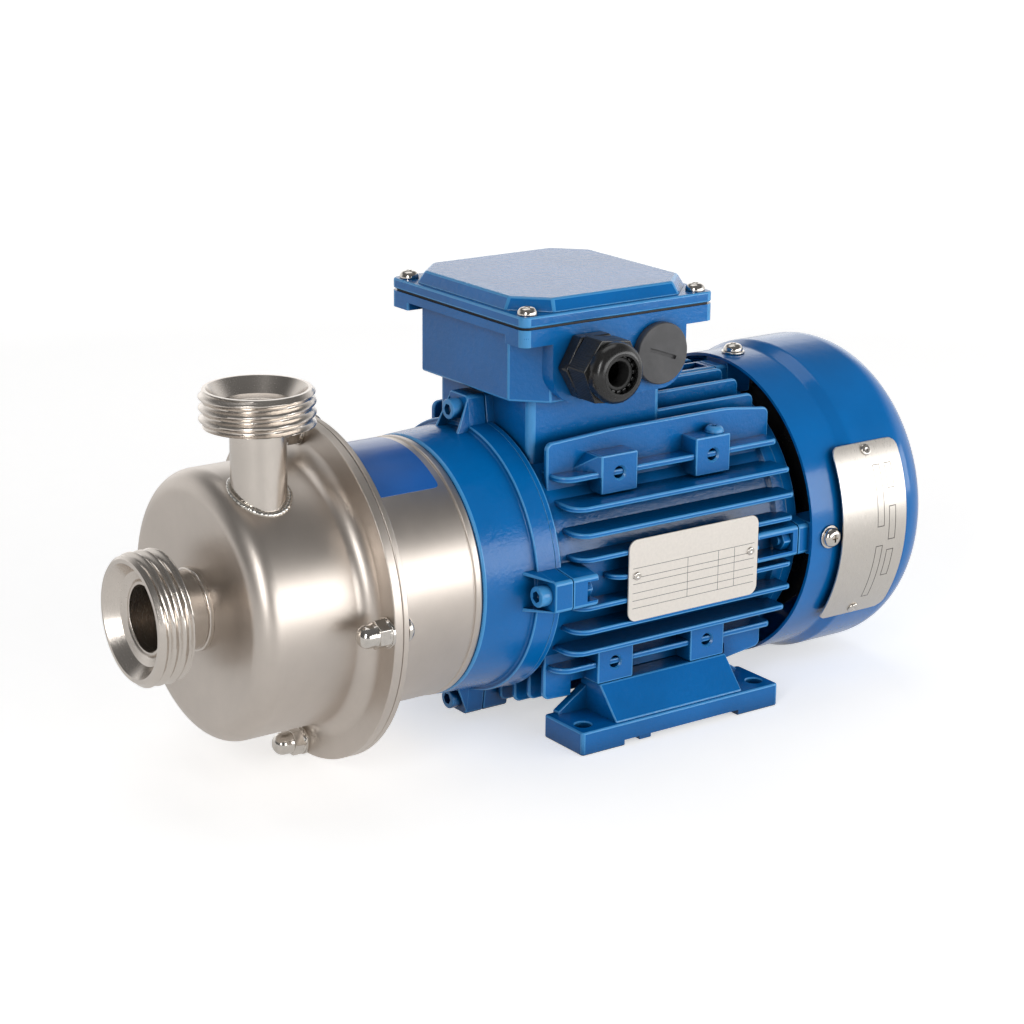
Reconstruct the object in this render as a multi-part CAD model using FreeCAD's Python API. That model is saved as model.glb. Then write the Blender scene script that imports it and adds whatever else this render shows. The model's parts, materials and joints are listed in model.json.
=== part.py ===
import FreeCAD, Part
import math
import os

# Sanitary centrifugal pump flanged to a size 71 foot motor. All lengths are millimetres.
# The shaft lies along X with the suction port towards -X, the terminal box stands on top and the
# nameplate side faces -Y. The origin is the middle of the four foot holes, on the floor.
# Pieces are drawn round the shaft line, and save() raises them by shaft_height.

Vector = FreeCAD.Vector

# Clearances
seat_gap = 0.03
slip_gap = 0.05
thread_gap = 0.15
running_gap = 0.30
bearing_gap = 0.04

# Feet
shaft_height = 71.0
foot_hole_spacing_x = 90.0
foot_hole_spacing_y = 112.0
foot_hole_radius = 3.5
foot_end_margin = 6.4
foot_side_margin = 8.3
foot_pad_width = 26.3
foot_pad_height = 9.9
foot_wall = 4.0
foot_web_length = 66.0
foot_web_step = 1.8
foot_relief_length = 60.0
foot_relief_depth = 2.5
foot_lug_length = 6.0
foot_gusset_length = 14.0
foot_gusset_drop = 6.0
foot_screw_radius = 2.0
foot_screw_head = 3.3
foot_screw_head_length = 3.5
foot_screw_grip = 4.5
foot_fin_room = 7.2

# Stator frame
frame_front_x = -59.8
frame_length = 120.3
frame_bore = 50.5
frame_wall = 3.5
front_band_length = 2.4
front_band_radius = 57.0
rear_band_length = 5.5
rear_band_radius = 56.0
band_taper = 1.6

# Cooling fins
fin_pitch = 10.0
fin_thickness = 2.2
fin_rows = 4
fin_circle = 66.0
fin_flat = 62.0
fin_front_gap = 4.9
fin_rear_gap = 2.0
fin_front_round = 8.0
fin_rear_round = 2.0
last_fin_reach = 49.8
upright_fin_front_gap = 3.4
upright_fin_rear_gap = 0.2
upright_fin_circle = 64.2
outer_fin_top = 55.5
outer_fin_front_drop = 1.7
outer_fin_front_rise = 34.0
outer_fin_rear_drop = 2.8
outer_fin_rear_fall = 22.0
upright_fin_round = 3.0
middle_fin_length = 76.0

# Side bosses with threaded holes
boss_spacing = 48.0
boss_shift = -1.0
boss_length = 18.0
boss_height = 16.0
boss_level = 40.0
boss_face = 50.9
boss_hole_radius = 2.5
boss_hole_depth = 12.0
boss_wedge = 9.5
boss_wedge_tip = -38.5
boss_wedge_foot = 25.0

# Ears and tie screws of the two endshields
ear_width = 12.5
ear_root_width = 16.8
ear_top_round = 2.0
front_ear_circle = 61.8
front_ear_top = 68.0
front_ear_shield_length = 8.6
front_ear_frame_length = 12.3
rear_ear_circle = 57.5
rear_ear_top = 63.0
rear_ear_frame_length = 22.0
nut_pocket_length = 5.5
rear_pocket_length = 19.0
tie_radius = 2.5
tie_head_radius = 4.25
tie_head_length = 5.0
tie_socket_radius = 2.3
tie_socket_depth = 2.5
nut_across_flats = 8.0
nut_length = 4.0
ear_web_length = 5.8
ear_web_thickness = 1.6
ear_web_foot = 53.0
rear_head_sink = 3.5

# Drive endshield
drive_shield_length = 32.2
drive_shield_front_radius = 53.3
drive_shield_rear_radius = 54.4
drive_ring_length = 8.9
drive_ring_radius = 56.5
shield_wall = 4.0
register_length = 3.0
register_wall = 3.0
spigot_radius = 35.0
spigot_length = 2.5
face_bolt_circle = 85.0
face_bolt_radius = 3.0
face_bolt_boss = 6.0
face_boss_length = 5.0
hub_wall = 4.5

# Rear endshield
rear_ring_length = 6.0
rear_ring_radius = 55.5
rear_plate_inset = 2.0
rear_hub_end = 77.0
cover_lug_width = 14.0
cover_lug_length = 12.5
cover_lug_foot = 50.0

# Ball bearings 15 x 35 x 11
bearing_bore = 7.5
bearing_outer = 17.5
bearing_width = 11.0
bearing_pitch_radius = 12.5
ball_radius = 2.976
ball_count = 8
race_shoulder = 1.9
cage_width = 8.0
front_bearing_x = -86.5
rear_bearing_x = 63.0
wave_spring_length = 1.0

# Shaft line
shaft_radius = 7.0
shaft_extension = 30.0
shaft_shoulder_x = -90.0
shaft_body_radius = 9.0
rotor_seat_radius = 9.5
shaft_end_x = 103.0
key_width = 5.0
key_height = 5.0
key_length = 18.0
key_depth = 3.0
rotor_radius = 27.0
rotor_length = 64.0
end_ring_length = 8.0
end_ring_radius = 24.0
end_ring_bore = 15.0
air_gap = 0.4
winding_length = 19.0
winding_inner = 32.0
winding_outer = 46.5

# Fan and fan cover
fan_hub_radius = 11.0
fan_x = 84.0
fan_hub_length = 16.0
fan_disc_thickness = 2.5
fan_radius = 54.0
fan_blade_length = 22.0
fan_blade_thickness = 2.0
fan_blade_count = 8
circlip_thickness = 1.0
circlip_radius = 9.5
circlip_groove = 0.5
cover_gap = 5.0
cover_length = 68.5
cover_wall = 1.3
cover_ear_gap = 1.7
cover_step_rise = 2.6
cover_step_x = 86.0
cover_step_length = 6.0
cover_crown = 18.0
cover_screw_x = 75.0
cover_screw_radius = 2.0
cover_screw_head = 4.2
cover_screw_height = 3.0
cover_screw_length = 8.0
washer_radius = 5.0
washer_thickness = 0.9
grille_rows = 4
grille_first_radius = 11.0
grille_row_pitch = 10.5
grille_slot_height = 5.0
grille_slot_web = 5.5

# Lantern between pump and motor
lantern_length = 47.0
lantern_radius = 52.7
lantern_wall = 2.0
lantern_flange = 2.5
lantern_plate = 3.0
lantern_edge_round = 2.5
label_x = -116.0
label_length = 34.0
label_low_angle = -45.0
label_high_angle = 38.0
label_thickness = 0.2

# Casing
casing_depth = 51.0
casing_radius = 53.4
casing_wall = 2.0
casing_front_round = 9.0
casing_flare = 7.0
casing_flange = 4.0
flange_radius = 69.0
flange_bolt_edge = 5.0
flange_bolt_radius = 3.0
flange_head_radius = 5.25
flange_head_length = 3.3
cap_nut_flats = 10.0
cap_nut_hex_length = 5.0
cap_nut_dome_length = 7.0
cap_nut_dome_radius = 4.6
plain_washer_radius = 6.0
plain_washer_thickness = 1.2
gasket_thickness = 0.8
gasket_width = 5.0
cover_flange = 1.8
cover_flange_radius = 58.8

# Back cover and seal
dish_depth = 24.0
dish_gap = 0.6
chamber_radius = 16.5
chamber_wall = 2.5
chamber_depth = 17.0
seat_length = 5.0
seat_bore = 10.0
seal_head_length = 7.0
seal_head_radius = 13.5
bellows_radius = 12.6
bellows_waves = 3
bellows_depth = 1.4

# Pump shaft
sleeve_radius = 13.5
sleeve_rear_gap = 7.5
sleeve_front_wall = 4.0
pump_shaft_radius = 9.0
impeller_seat_radius = 6.0
nut_seat_radius = 4.5
clamp_screw_radius = 3.0
clamp_screw_spacing = 10.0
clamp_screw_sink = 0.6

# Impeller
impeller_radius = 44.0
impeller_back = 2.5
impeller_front = 1.6
impeller_rear_gap = 2.5
vane_width_tip = 8.0
vane_width_eye = 13.0
vane_count = 6
vane_thickness = 1.8
vane_bend = 30.0
vane_offset = 20.0
eye_radius = 13.2
eye_collar_radius = 16.0
eye_collar_gap = 0.7
hub_radius = 10.0
impeller_nut_radius = 8.5
impeller_nut_length = 8.5

# Suction union
suction_projection = 27.2
suction_bore = 13.0
suction_neck = 15.4
suction_thread = 26.0
suction_thread_length = 14.0
suction_rim = 23.9
suction_mouth = 22.3
suction_seat = 18.35
suction_cone = 5.2
suction_step = 1.4
suction_shoulder = 2.5
weld_bead = 1.1

# Discharge union
discharge_x = -172.3
discharge_y = -21.0
discharge_top = 89.0
discharge_bore = 9.05
discharge_step_in = 0.45
discharge_neck = 10.65
discharge_thread = 22.0
discharge_thread_length = 14.0
discharge_rim = 20.3
discharge_mouth = 19.0
discharge_seat = 15.0
discharge_cone = 6.0
discharge_step = 1.4
discharge_shoulder = 2.0

# Terminal box
box_x = -23.0
pedestal_half_x = 33.0
pedestal_half_y = 32.0
pedestal_top = 69.7
pedestal_round = 3.0
wire_hole_radius = 9.0
box_gasket_thickness = 0.8
box_half = 42.5
box_cut = 12.0
box_wall = 3.0
box_height = 31.7
rim_half = 47.1
rim_round = 5.0
rim_thickness = 3.5
lug_length = 16.0
lug_width = 13.0
lug_depth = 3.3
lug_round = 2.0
lid_screw_offset = 41.5
lid_gasket_thickness = 0.8
lid_flange = 4.3
lid_plateau_height = 5.0
lid_plateau_half = 44.6
lid_plateau_slope = 3.0
lid_wall = 3.0
lid_edge_round = 0.9
lid_screw_radius = 2.0
lid_screw_head = 4.0
lid_screw_height = 3.0
lid_screw_bite = 4.8
box_screw_radius = 2.5
box_screw_head = 4.25
box_screw_spacing_x = 46.0
box_screw_spacing_y = 48.0
box_screw_length = 14.0

# Cable entries
entry_level = 85.8
entry_radius = 10.0
entry_pad_length = 66.0
entry_pad_round = 12.0
gland_x = -39.8
plug_x = -4.4
gland_flats = 24.6
gland_collar_length = 6.0
gland_shank_length = 10.0
gland_bore = 6.5
gland_neck_radius = 9.0
gland_neck_length = 8.0
gland_nut_length = 17.0
gland_nut_hex_length = 10.7
gland_nut_wall = 1.6
gland_nut_mouth = 7.9
gland_nut_turn = -6.5
gland_seal_bore = 5.0
plug_radius = 12.6
plug_head_length = 3.5
plug_shank_length = 9.0
plug_slot_width = 1.6
plug_slot_length = 15.0
plug_slot_depth = 1.2

# Terminal block
block_length = 46.0
block_width = 32.0
block_height = 9.0
block_leg = 3.5
stud_radius = 2.0
stud_spacing_x = 15.0
stud_spacing_y = 16.0
stud_height = 9.0
stud_nut_radius = 3.6
stud_nut_height = 3.2
link_width = 7.0
link_thickness = 0.8

# Plates
nameplate_x = 5.0
nameplate_level = -2.0
nameplate_length = 67.0
nameplate_height = 34.2
nameplate_thickness = 0.8
nameplate_round = 4.0
nameplate_rivet_spacing = 59.0
rivet_radius = 0.8
rivet_head_radius = 1.8
rivet_head_height = 0.8
rivet_length = 4.0
cover_plate_x = 98.0
cover_plate_length = 36.0
cover_plate_low = -41.0
cover_plate_high = 36.0
cover_plate_thickness = 0.6
cover_plate_round = 4.0
cover_rivet_high = 33.0
cover_rivet_low = -38.0
cover_rivet_radius = 1.2
cover_rivet_head = 2.6
cover_rivet_height = 1.0
cover_rivet_length = 3.0

# Roundings and small steps
overlap = 0.5
edge_tolerance = 0.01
hexagon_half_step = 30.0
union_shoulder_round = 1.2
weld_bead_round = 1.0
dish_round = 4.0
dish_rim_round = 2.0
seal_head_step = 1.5
lantern_round = 1.5
flange_head_round = 2.6
cap_nut_dome_round = 4.2
face_screw_head = 5.0
face_socket_flats = 5.0
face_socket_depth = 3.0
seal_hole_radius = 11.5
shaft_seal_radius = 13.5
shaft_seal_length = 4.0
seal_lip_flare = 1.5
seal_lip_start = 1.6
seal_lip_end = 2.4
seal_lip_back = 3.0
shield_front_round = 1.2
shield_edge_round = 0.6
shield_inner_round = 4.0
front_rim_radius = 56.7
band_round = 1.2
barrel_round = 1.0
fin_foot = 17.0
earth_screw_round = 1.6
tie_screw_proud = 0.8
foot_pad_round = 1.5
foot_lug_place = 19.2
foot_lug_level = 0.8
rear_hub_front = 3.0
hub_foot = 2.0
hub_foot_round = 3.0
winding_round = 6.0
shaft_end_round = 0.8
end_ring_round = 2.0
impeller_seat_step = 4.0
sleeve_step = 6.0
sleeve_round = 2.0
impeller_nose = 4.0
hub_flare = 4.0
eye_flare = 3.0
shroud_wall = 1.2
impeller_nut_round = 4.5
fan_disc_inset = 3.0
fan_blade_round = 6.0
grille_first_slots = 6
grille_more_slots = 2
cover_step_round = 4.0
cover_screw_round = 1.8
cover_rivet_round = 0.7
rivet_round = 0.5
cut_share = 0.6
box_screw_head_length = 3.5
gasket_inset = 0.8
lid_screw_rise = 1.0
lid_screw_round = 2.0
gland_edge_round = 0.4
gland_dome_radius = 12.2
gland_dome_round = 4.0
plug_edge_round = 0.8
plug_wall = 2.5
block_round = 2.0
block_leg_inset = 4.0
block_leg_radius = 3.0
block_rib = 1.6
block_rib_height = 4.0
stud_sink = 5.0
link_round = 3.0

# Earth screw on the rear upper boss
earth_screw_inset = 5.5
earth_screw_shift = 4.6
earth_screw_radius = 2.0
earth_screw_head = 4.0
earth_screw_height = 2.6
earth_screw_length = 9.0

# Stations along the shaft that follow from the lengths above
frame_rear_x = frame_front_x + frame_length
frame_root = frame_bore + frame_wall
shield_face_x = frame_front_x - drive_shield_length
drive_ring_x = frame_front_x - drive_ring_length
lantern_front_x = shield_face_x - lantern_length
lantern_bore = lantern_radius - lantern_wall
casing_front_x = lantern_front_x - casing_depth
casing_bore = casing_radius - casing_wall
casing_flange_x = lantern_front_x - casing_flange
front_wall_x = casing_front_x + casing_wall
suction_face_x = casing_front_x - suction_projection
cover_x = frame_rear_x + cover_gap
ear_foot = frame_bore + frame_wall / 2
cover_rear_x = cover_x + cover_length
cover_front_bore = rear_ear_top + cover_ear_gap
cover_front_radius = cover_front_bore + cover_wall
cover_barrel_radius = cover_front_radius + cover_step_rise
flange_bolt_circle = 2 * (flange_radius - flange_bolt_edge)
rear_ring_x = frame_rear_x + rear_ring_length
dish_x = lantern_front_x - dish_depth
dish_radius = casing_bore - dish_gap
chamber_rear_x = dish_x + chamber_depth
impeller_rear_x = dish_x - impeller_rear_gap
shaft_front_x = shaft_shoulder_x - shaft_extension
nut_corner = nut_across_flats / 2 / math.cos(math.pi / 6)
gasket_side = 2 * (rim_half - gasket_inset)
upright = (0, 90, 180, 270)
diagonal = (45, 135, 225, 315)


def rounded_wire(points, place):
    """Closed outline through points (u, v) or (u, v, radius); a radius rounds that corner."""
    count = len(points)
    corners = [Vector(point[0], point[1], 0) for point in points]
    spans = []
    for index, point in enumerate(points):
        here = corners[index]
        if len(point) < 3:
            spans.append((here, None, here))
            continue
        back = (corners[index - 1] - here).normalize()
        onward = (corners[(index + 1) % count] - here).normalize()
        half_angle = back.getAngle(onward) / 2
        reach = point[2] / math.tan(half_angle)
        inward = (back + onward).normalize()
        middle = here + inward * (point[2] / math.sin(half_angle) - point[2])
        spans.append((here + back * reach, middle, here + onward * reach))
    edges = []
    for index, (start, middle, end) in enumerate(spans):
        if middle is not None:
            arc = Part.Arc(place(start), place(middle), place(end))
            edges.append(arc.toShape())
        following = spans[(index + 1) % count][0]
        if end.distanceToPoint(following) > 1e-5:
            edges.append(Part.LineSegment(place(end), place(following)).toShape())
    return Part.Wire(edges)


def turned(points):
    """Solid of revolution about the shaft line through points (x, radius[, rounding])."""
    wire = rounded_wire(points, lambda p: Vector(p.x, 0, p.y))
    return Part.Face(wire).revolve(Vector(0, 0, 0), Vector(1, 0, 0), 360)


def plan_plate(points, low, high):
    """Upright plate: an outline in plan, raised from low to high."""
    wire = rounded_wire(points, lambda p: Vector(p.x, p.y, low))
    return Part.Face(wire).extrude(Vector(0, 0, high - low))


def side_plate(points, start, end):
    """Plate whose outline (x, z) lies in a side view, running from y = start to y = end."""
    wire = rounded_wire(points, lambda p: Vector(p.x, start, p.y))
    return Part.Face(wire).extrude(Vector(0, end - start, 0))


def end_plate(points, start, end):
    """Plate whose outline (y, z) lies in an end view, running from x = start to x = end."""
    wire = rounded_wire(points, lambda p: Vector(start, p.x, p.y))
    return Part.Face(wire).extrude(Vector(end - start, 0, 0))


def domed_head(radius, height, rounding):
    """Screw or rivet head on x = 0, pointing along +X."""
    return turned([(0, 0), (0, radius), (height, radius, rounding), (height, 0)])


def rectangle(centre_u, centre_v, length, width, rounding):
    """Corner points of a rounded rectangle."""
    left = centre_u - length / 2
    right = centre_u + length / 2
    low = centre_v - width / 2
    high = centre_v + width / 2
    return [(left, low, rounding), (right, low, rounding), (right, high, rounding), (left, high, rounding)]


def cut_square(centre_x, half, cut):
    """Corner points of a square with cut corners, centred on y = 0."""
    inner = half - cut
    signs = [(1, 1), (-1, 1), (-1, -1), (1, -1)]
    points = []
    for order, (sx, sy) in enumerate(signs):
        pair = [(centre_x + sx * half, sy * inner), (centre_x + sx * inner, sy * half)]
        if order % 2:
            pair.reverse()
        points.extend(pair)
    return points


def block(x0, x1, y0, y1, z0, z1):
    corner = Vector(min(x0, x1), min(y0, y1), min(z0, z1))
    return Part.makeBox(abs(x1 - x0), abs(y1 - y0), abs(z1 - z0), corner)


def rod(x0, x1, radius, y=0.0, z=0.0):
    return Part.makeCylinder(radius, x1 - x0, Vector(x0, y, z), Vector(1, 0, 0))


def post(x, y, z0, z1, radius):
    return Part.makeCylinder(radius, z1 - z0, Vector(x, y, z0), Vector(0, 0, 1))


def pin_out(x, z, y0, y1, radius):
    """Cylinder along Y from y0 to y1, with y0 the lower value."""
    return Part.makeCylinder(radius, y1 - y0, Vector(x, y0, z), Vector(0, 1, 0))


def ring(x0, x1, outer, inner):
    return rod(x0, x1, outer).cut(rod(x0 - 1, x1 + 1, inner))


def hexagon(x0, x1, across_flats, y=0.0, z=0.0):
    corner = across_flats / 2 / math.cos(math.pi / 6)
    points = []
    for step in range(6):
        angle = math.radians(60 * step)
        points.append((y + corner * math.cos(angle), z + corner * math.sin(angle)))
    return end_plate(points, x0, x1)


def turn(shape, angle):
    """Copy turned about the shaft line: 0 is the top, 90 is the -Y side."""
    copy = shape.copy()
    copy.rotate(Vector(0, 0, 0), Vector(1, 0, 0), angle)
    return copy


def around(shape, angles):
    return [turn(shape, angle) for angle in angles]


def mirror_y(shape):
    return shape.mirror(Vector(0, 0, 0), Vector(0, 1, 0))


def fuse(shapes):
    return shapes[0].multiFuse(shapes[1:]).removeSplitter()


def group(shapes):
    return Part.makeCompound(shapes)


def drill(shape, holes):
    return shape.cut(group(holes))


def aim(shape, x, y, z, direction):
    """Move a piece drawn round the shaft line at x = 0 so that +X points along direction."""
    copy = shape.copy()
    copy.Placement = FreeCAD.Placement(Vector(x, y, z), FreeCAD.Rotation(Vector(1, 0, 0), direction))
    return copy


def save(name, shape):
    placed = shape.copy()
    placed.translate(Vector(0, 0, shaft_height))
    placed.exportStep("parts/" + name + ".step")


def union_profile(face, bore, neck, crest, thread, rim, mouth, seat, cone, step, shoulder, neck_end):
    """Male union from its mouth at x = face back to the end of its neck."""
    chamfer = crest - rim
    back = face + thread
    return [
        (face, mouth),
        (face, rim),
        (face + chamfer, crest),
        (back, crest),
        (back + shoulder, neck, union_shoulder_round),
        (neck_end, neck),
        (neck_end, bore),
        (face + cone + step, bore),
        (face + cone, seat),
    ]


def make_suction_union():
    profile = union_profile(
        suction_face_x, suction_bore, suction_neck, suction_thread, suction_thread_length, suction_rim,
        suction_mouth, suction_seat, suction_cone, suction_step, suction_shoulder, casing_front_x
    )
    bead = turned([
        (casing_front_x - 2 * weld_bead, suction_neck - weld_bead),
        (casing_front_x - 2 * weld_bead, suction_neck + weld_bead, weld_bead_round),
        (casing_front_x, suction_neck + weld_bead),
        (casing_front_x, suction_neck - weld_bead),
    ])
    return fuse([turned(profile), bead])


def discharge_rod(radius, low, high):
    return post(discharge_x, discharge_y, low, high, radius)


def make_discharge_union():
    profile = union_profile(
        0, discharge_bore, discharge_neck, discharge_thread, discharge_thread_length, discharge_rim,
        discharge_mouth, discharge_seat, discharge_cone, discharge_step, discharge_shoulder, discharge_top
    )
    union = aim(turned(profile), discharge_x, discharge_y, discharge_top, Vector(0, 0, -1))
    saddle = rod(casing_front_x, casing_flange_x, casing_radius + seat_gap)
    return union.cut(saddle)


def make_casing():
    recess = lantern_front_x - cover_flange - gasket_thickness
    recess_radius = cover_flange_radius + slip_gap
    shell = turned([
        (casing_front_x, suction_bore),
        (casing_front_x, casing_radius, casing_front_round),
        (casing_flange_x, casing_radius, casing_flare),
        (casing_flange_x, flange_radius),
        (lantern_front_x, flange_radius),
        (lantern_front_x, recess_radius),
        (recess, recess_radius),
        (recess, casing_bore),
        (front_wall_x, casing_bore, casing_front_round - casing_wall),
        (front_wall_x, suction_bore),
    ])
    washer_room = plain_washer_radius + running_gap
    spot = rod(casing_flange_x - casing_flare, casing_flange_x, washer_room, 0, flange_bolt_circle / 2)
    holes = around(spot, upright) + flange_holes()
    holes.append(discharge_rod(discharge_bore + discharge_step_in, 0, discharge_top))
    return drill(shell, holes)


def flange_holes():
    hole = rod(
        casing_flange_x - 1, lantern_front_x + lantern_flange + 1, flange_bolt_radius + slip_gap,
        0, flange_bolt_circle / 2
    )
    return around(hole, upright)


def make_casing_gasket():
    front = lantern_front_x - cover_flange - gasket_thickness
    outer = cover_flange_radius - seat_gap
    return ring(front, front + gasket_thickness, outer, outer - gasket_width)


def make_back_cover():
    flange_front = lantern_front_x - cover_flange
    inner = dish_radius - casing_wall
    return turned([
        (lantern_front_x, cover_flange_radius),
        (flange_front, cover_flange_radius),
        (flange_front, dish_radius),
        (dish_x, dish_radius, dish_round),
        (dish_x, chamber_radius),
        (chamber_rear_x, chamber_radius),
        (chamber_rear_x, seat_bore),
        (chamber_rear_x + chamber_wall, seat_bore),
        (chamber_rear_x + chamber_wall, chamber_radius + chamber_wall),
        (dish_x + casing_wall, chamber_radius + chamber_wall),
        (dish_x + casing_wall, inner, dish_rim_round),
        (lantern_front_x, inner),
    ])


def make_seal_seat():
    front = chamber_rear_x - seat_length
    return turned([
        (front, seat_bore),
        (front, seal_head_radius - 1),
        (front + 1, seal_head_radius - 1),
        (front + 1, chamber_radius - seat_gap),
        (chamber_rear_x, chamber_radius - seat_gap),
        (chamber_rear_x, seat_bore),
    ])


def make_seal_head():
    rear = chamber_rear_x - seat_length - slip_gap
    front = rear - seal_head_length
    inner = pump_shaft_radius + seat_gap
    return turned([
        (front, inner),
        (front, seal_head_radius),
        (rear - seal_head_step, seal_head_radius),
        (rear - seal_head_step, seal_head_radius - seal_head_step),
        (rear, seal_head_radius - seal_head_step),
        (rear, inner),
    ])


def make_seal_bellows():
    """Rubber bellows with a wave for each fold, from the impeller hub to the seal head."""
    rear = chamber_rear_x - seat_length - slip_gap - seal_head_length
    front = impeller_rear_x
    inner = pump_shaft_radius + seat_gap
    fold = (rear - front) / (2 * bellows_waves)
    points = [(rear, inner), (front, inner), (front, bellows_radius)]
    for step in range(1, 2 * bellows_waves):
        radius = bellows_radius - bellows_depth * (step % 2)
        points.append((front + step * fold, radius, fold / 3))
    points.append((rear, bellows_radius))
    return turned(points)


def make_lantern():
    rear = shield_face_x
    tube = turned([
        (lantern_front_x, lantern_bore),
        (lantern_front_x, flange_radius),
        (lantern_front_x + lantern_flange, flange_radius),
        (lantern_front_x + lantern_flange, lantern_radius, lantern_round),
        (rear, lantern_radius, lantern_edge_round),
        (rear, spigot_radius + slip_gap),
        (rear - lantern_plate, spigot_radius + slip_gap),
        (rear - lantern_plate, lantern_bore),
    ])
    hole = rod(rear - lantern_plate - 1, rear + 1, face_bolt_radius + slip_gap, 0, face_bolt_circle / 2)
    return drill(tube, flange_holes() + around(hole, diagonal))


def make_lantern_label():
    """Thin bare label that wraps the upper front of the lantern."""
    start = label_x - label_length / 2
    outer = lantern_radius + label_thickness
    sheet = ring(start, start + label_length, outer, lantern_radius + seat_gap / 2)
    wedge = block(start - 1, start + label_length + 1, -2 * lantern_radius, 0, 0, 2 * lantern_radius)
    low_side = turn(wedge, -label_low_angle)
    high_side = turn(wedge, 90 - label_high_angle)
    return sheet.common(low_side).common(high_side)


def make_flange_bolts():
    rear = lantern_front_x + lantern_flange
    tip = casing_flange_x - plain_washer_thickness - cap_nut_hex_length
    head = domed_head(flange_head_radius, flange_head_length, flange_head_round)
    head.translate(Vector(rear, 0, 0))
    bolt = fuse([head, rod(tip, rear, flange_bolt_radius)])
    bolt.translate(Vector(0, 0, flange_bolt_circle / 2))
    return group(around(bolt, upright))


def make_flange_washers():
    washer = ring(
        casing_flange_x - plain_washer_thickness, casing_flange_x, plain_washer_radius,
        flange_bolt_radius + slip_gap
    )
    washer.translate(Vector(0, 0, flange_bolt_circle / 2))
    return group(around(washer, upright))


def make_flange_cap_nuts():
    rear = casing_flange_x - plain_washer_thickness
    hex_front = rear - cap_nut_hex_length
    dome = turned([
        (hex_front, 0),
        (hex_front - cap_nut_dome_length, 0),
        (hex_front - cap_nut_dome_length, cap_nut_dome_radius, cap_nut_dome_round),
        (hex_front, cap_nut_dome_radius),
    ])
    nut = fuse([hexagon(hex_front, rear, cap_nut_flats), dome])
    nut = nut.cut(rod(hex_front - slip_gap, rear + 1, flange_bolt_radius + slip_gap))
    nut.translate(Vector(0, 0, flange_bolt_circle / 2))
    return group(around(nut, upright))


def make_lantern_screws():
    front = shield_face_x - lantern_plate
    screw = fuse([
        rod(front - tie_head_length, front, face_screw_head),
        rod(front, shield_face_x + shield_wall + face_boss_length + 1, face_bolt_radius)
    ])
    mouth = front - tie_head_length
    screw = screw.cut(hexagon(mouth - 1, mouth + face_socket_depth, face_socket_flats))
    screw.translate(Vector(0, 0, face_bolt_circle / 2))
    return group(around(screw, diagonal))


def ear(x0, x1, top, inset=0.0):
    """Ear at the top of a ring, wider at its root, with its outer corners rounded."""
    half = ear_width / 2 - inset
    root = ear_root_width / 2 - inset
    foot = ear_foot
    outline = [(-root, foot), (root, foot), (half, top, ear_top_round), (-half, top, ear_top_round)]
    return end_plate(outline, x0, x1)


def make_drive_endshield():
    wall_x = shield_face_x + shield_wall
    bearing_front_x = front_bearing_x - wave_spring_length
    nose_x = shield_face_x - spigot_length
    hub_end = front_bearing_x + bearing_width + 1
    hub_outer = bearing_outer + hub_wall
    shell = turned([
        (nose_x, seal_hole_radius),
        (nose_x, spigot_radius),
        (shield_face_x, spigot_radius),
        (shield_face_x, drive_shield_front_radius, shield_front_round),
        (drive_ring_x, drive_shield_rear_radius),
        (drive_ring_x, drive_ring_radius, shield_edge_round),
        (frame_front_x, front_rim_radius),
        (frame_front_x, frame_bore - slip_gap),
        (frame_front_x + register_length, frame_bore - slip_gap),
        (frame_front_x + register_length, frame_bore - register_wall),
        (wall_x, frame_bore - register_wall, shield_inner_round),
        (wall_x, hub_outer),
        (hub_end, hub_outer),
        (hub_end, bearing_outer),
        (bearing_front_x, bearing_outer),
        (bearing_front_x, seal_hole_radius),
    ])
    boss = rod(shield_face_x + 1, wall_x + face_boss_length, face_bolt_boss, 0, face_bolt_circle / 2)
    ears = around(ear(frame_front_x - front_ear_shield_length, frame_front_x, front_ear_top), upright)
    body = fuse([shell] + around(boss, diagonal) + ears + ear_webs())
    tie_hole = rod(drive_ring_x - 1, frame_front_x + 1, tie_radius + slip_gap, 0, front_ear_circle)
    head_seat = frame_front_x - front_ear_shield_length
    head_room = tie_head_radius + running_gap
    tie_access = rod(head_seat - tie_head_length - 1, head_seat, head_room, 0, front_ear_circle)
    face_end = wall_x + face_boss_length + 1
    face_hole = rod(shield_face_x - 1, face_end, face_bolt_radius + slip_gap, 0, face_bolt_circle / 2)
    seal_pocket = rod(nose_x - 1, nose_x + shaft_seal_length, shaft_seal_radius)
    holes = around(tie_hole, upright) + around(tie_access, upright) + around(face_hole, diagonal)
    return drill(body, holes + [seal_pocket])


def ear_webs():
    """Thin sloped webs beside the heads of the front tie screws."""
    seat = frame_front_x - front_ear_shield_length
    tip = seat - ear_web_length
    outline = [(seat + 1, ear_foot), (seat + 1, front_ear_top - 2), (seat, front_ear_top - 2),
               (tip, ear_web_foot), (tip, ear_foot)]
    side = ear_root_width / 2
    flank = side_plate(outline, -side, side).common(ear(tip, seat + 1, front_ear_top))
    webs = flank.cut(ear(tip - 1, seat + 2, front_ear_top + ear_width, ear_web_thickness))
    return [turned_web for web in webs.Solids for turned_web in around(web, upright)]


def fin_reach(row):
    """Distance of a level fin's tip from the shaft plane, by the row's number."""
    if abs(row) == fin_rows:
        return last_fin_reach
    return min(fin_flat, math.sqrt(fin_circle ** 2 - (row * fin_pitch) ** 2))


def fin_outline(start, end, reach, front_round):
    foot = fin_foot
    return [(start, foot), (end, foot), (end, reach, fin_rear_round), (start, reach, front_round)]


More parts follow.
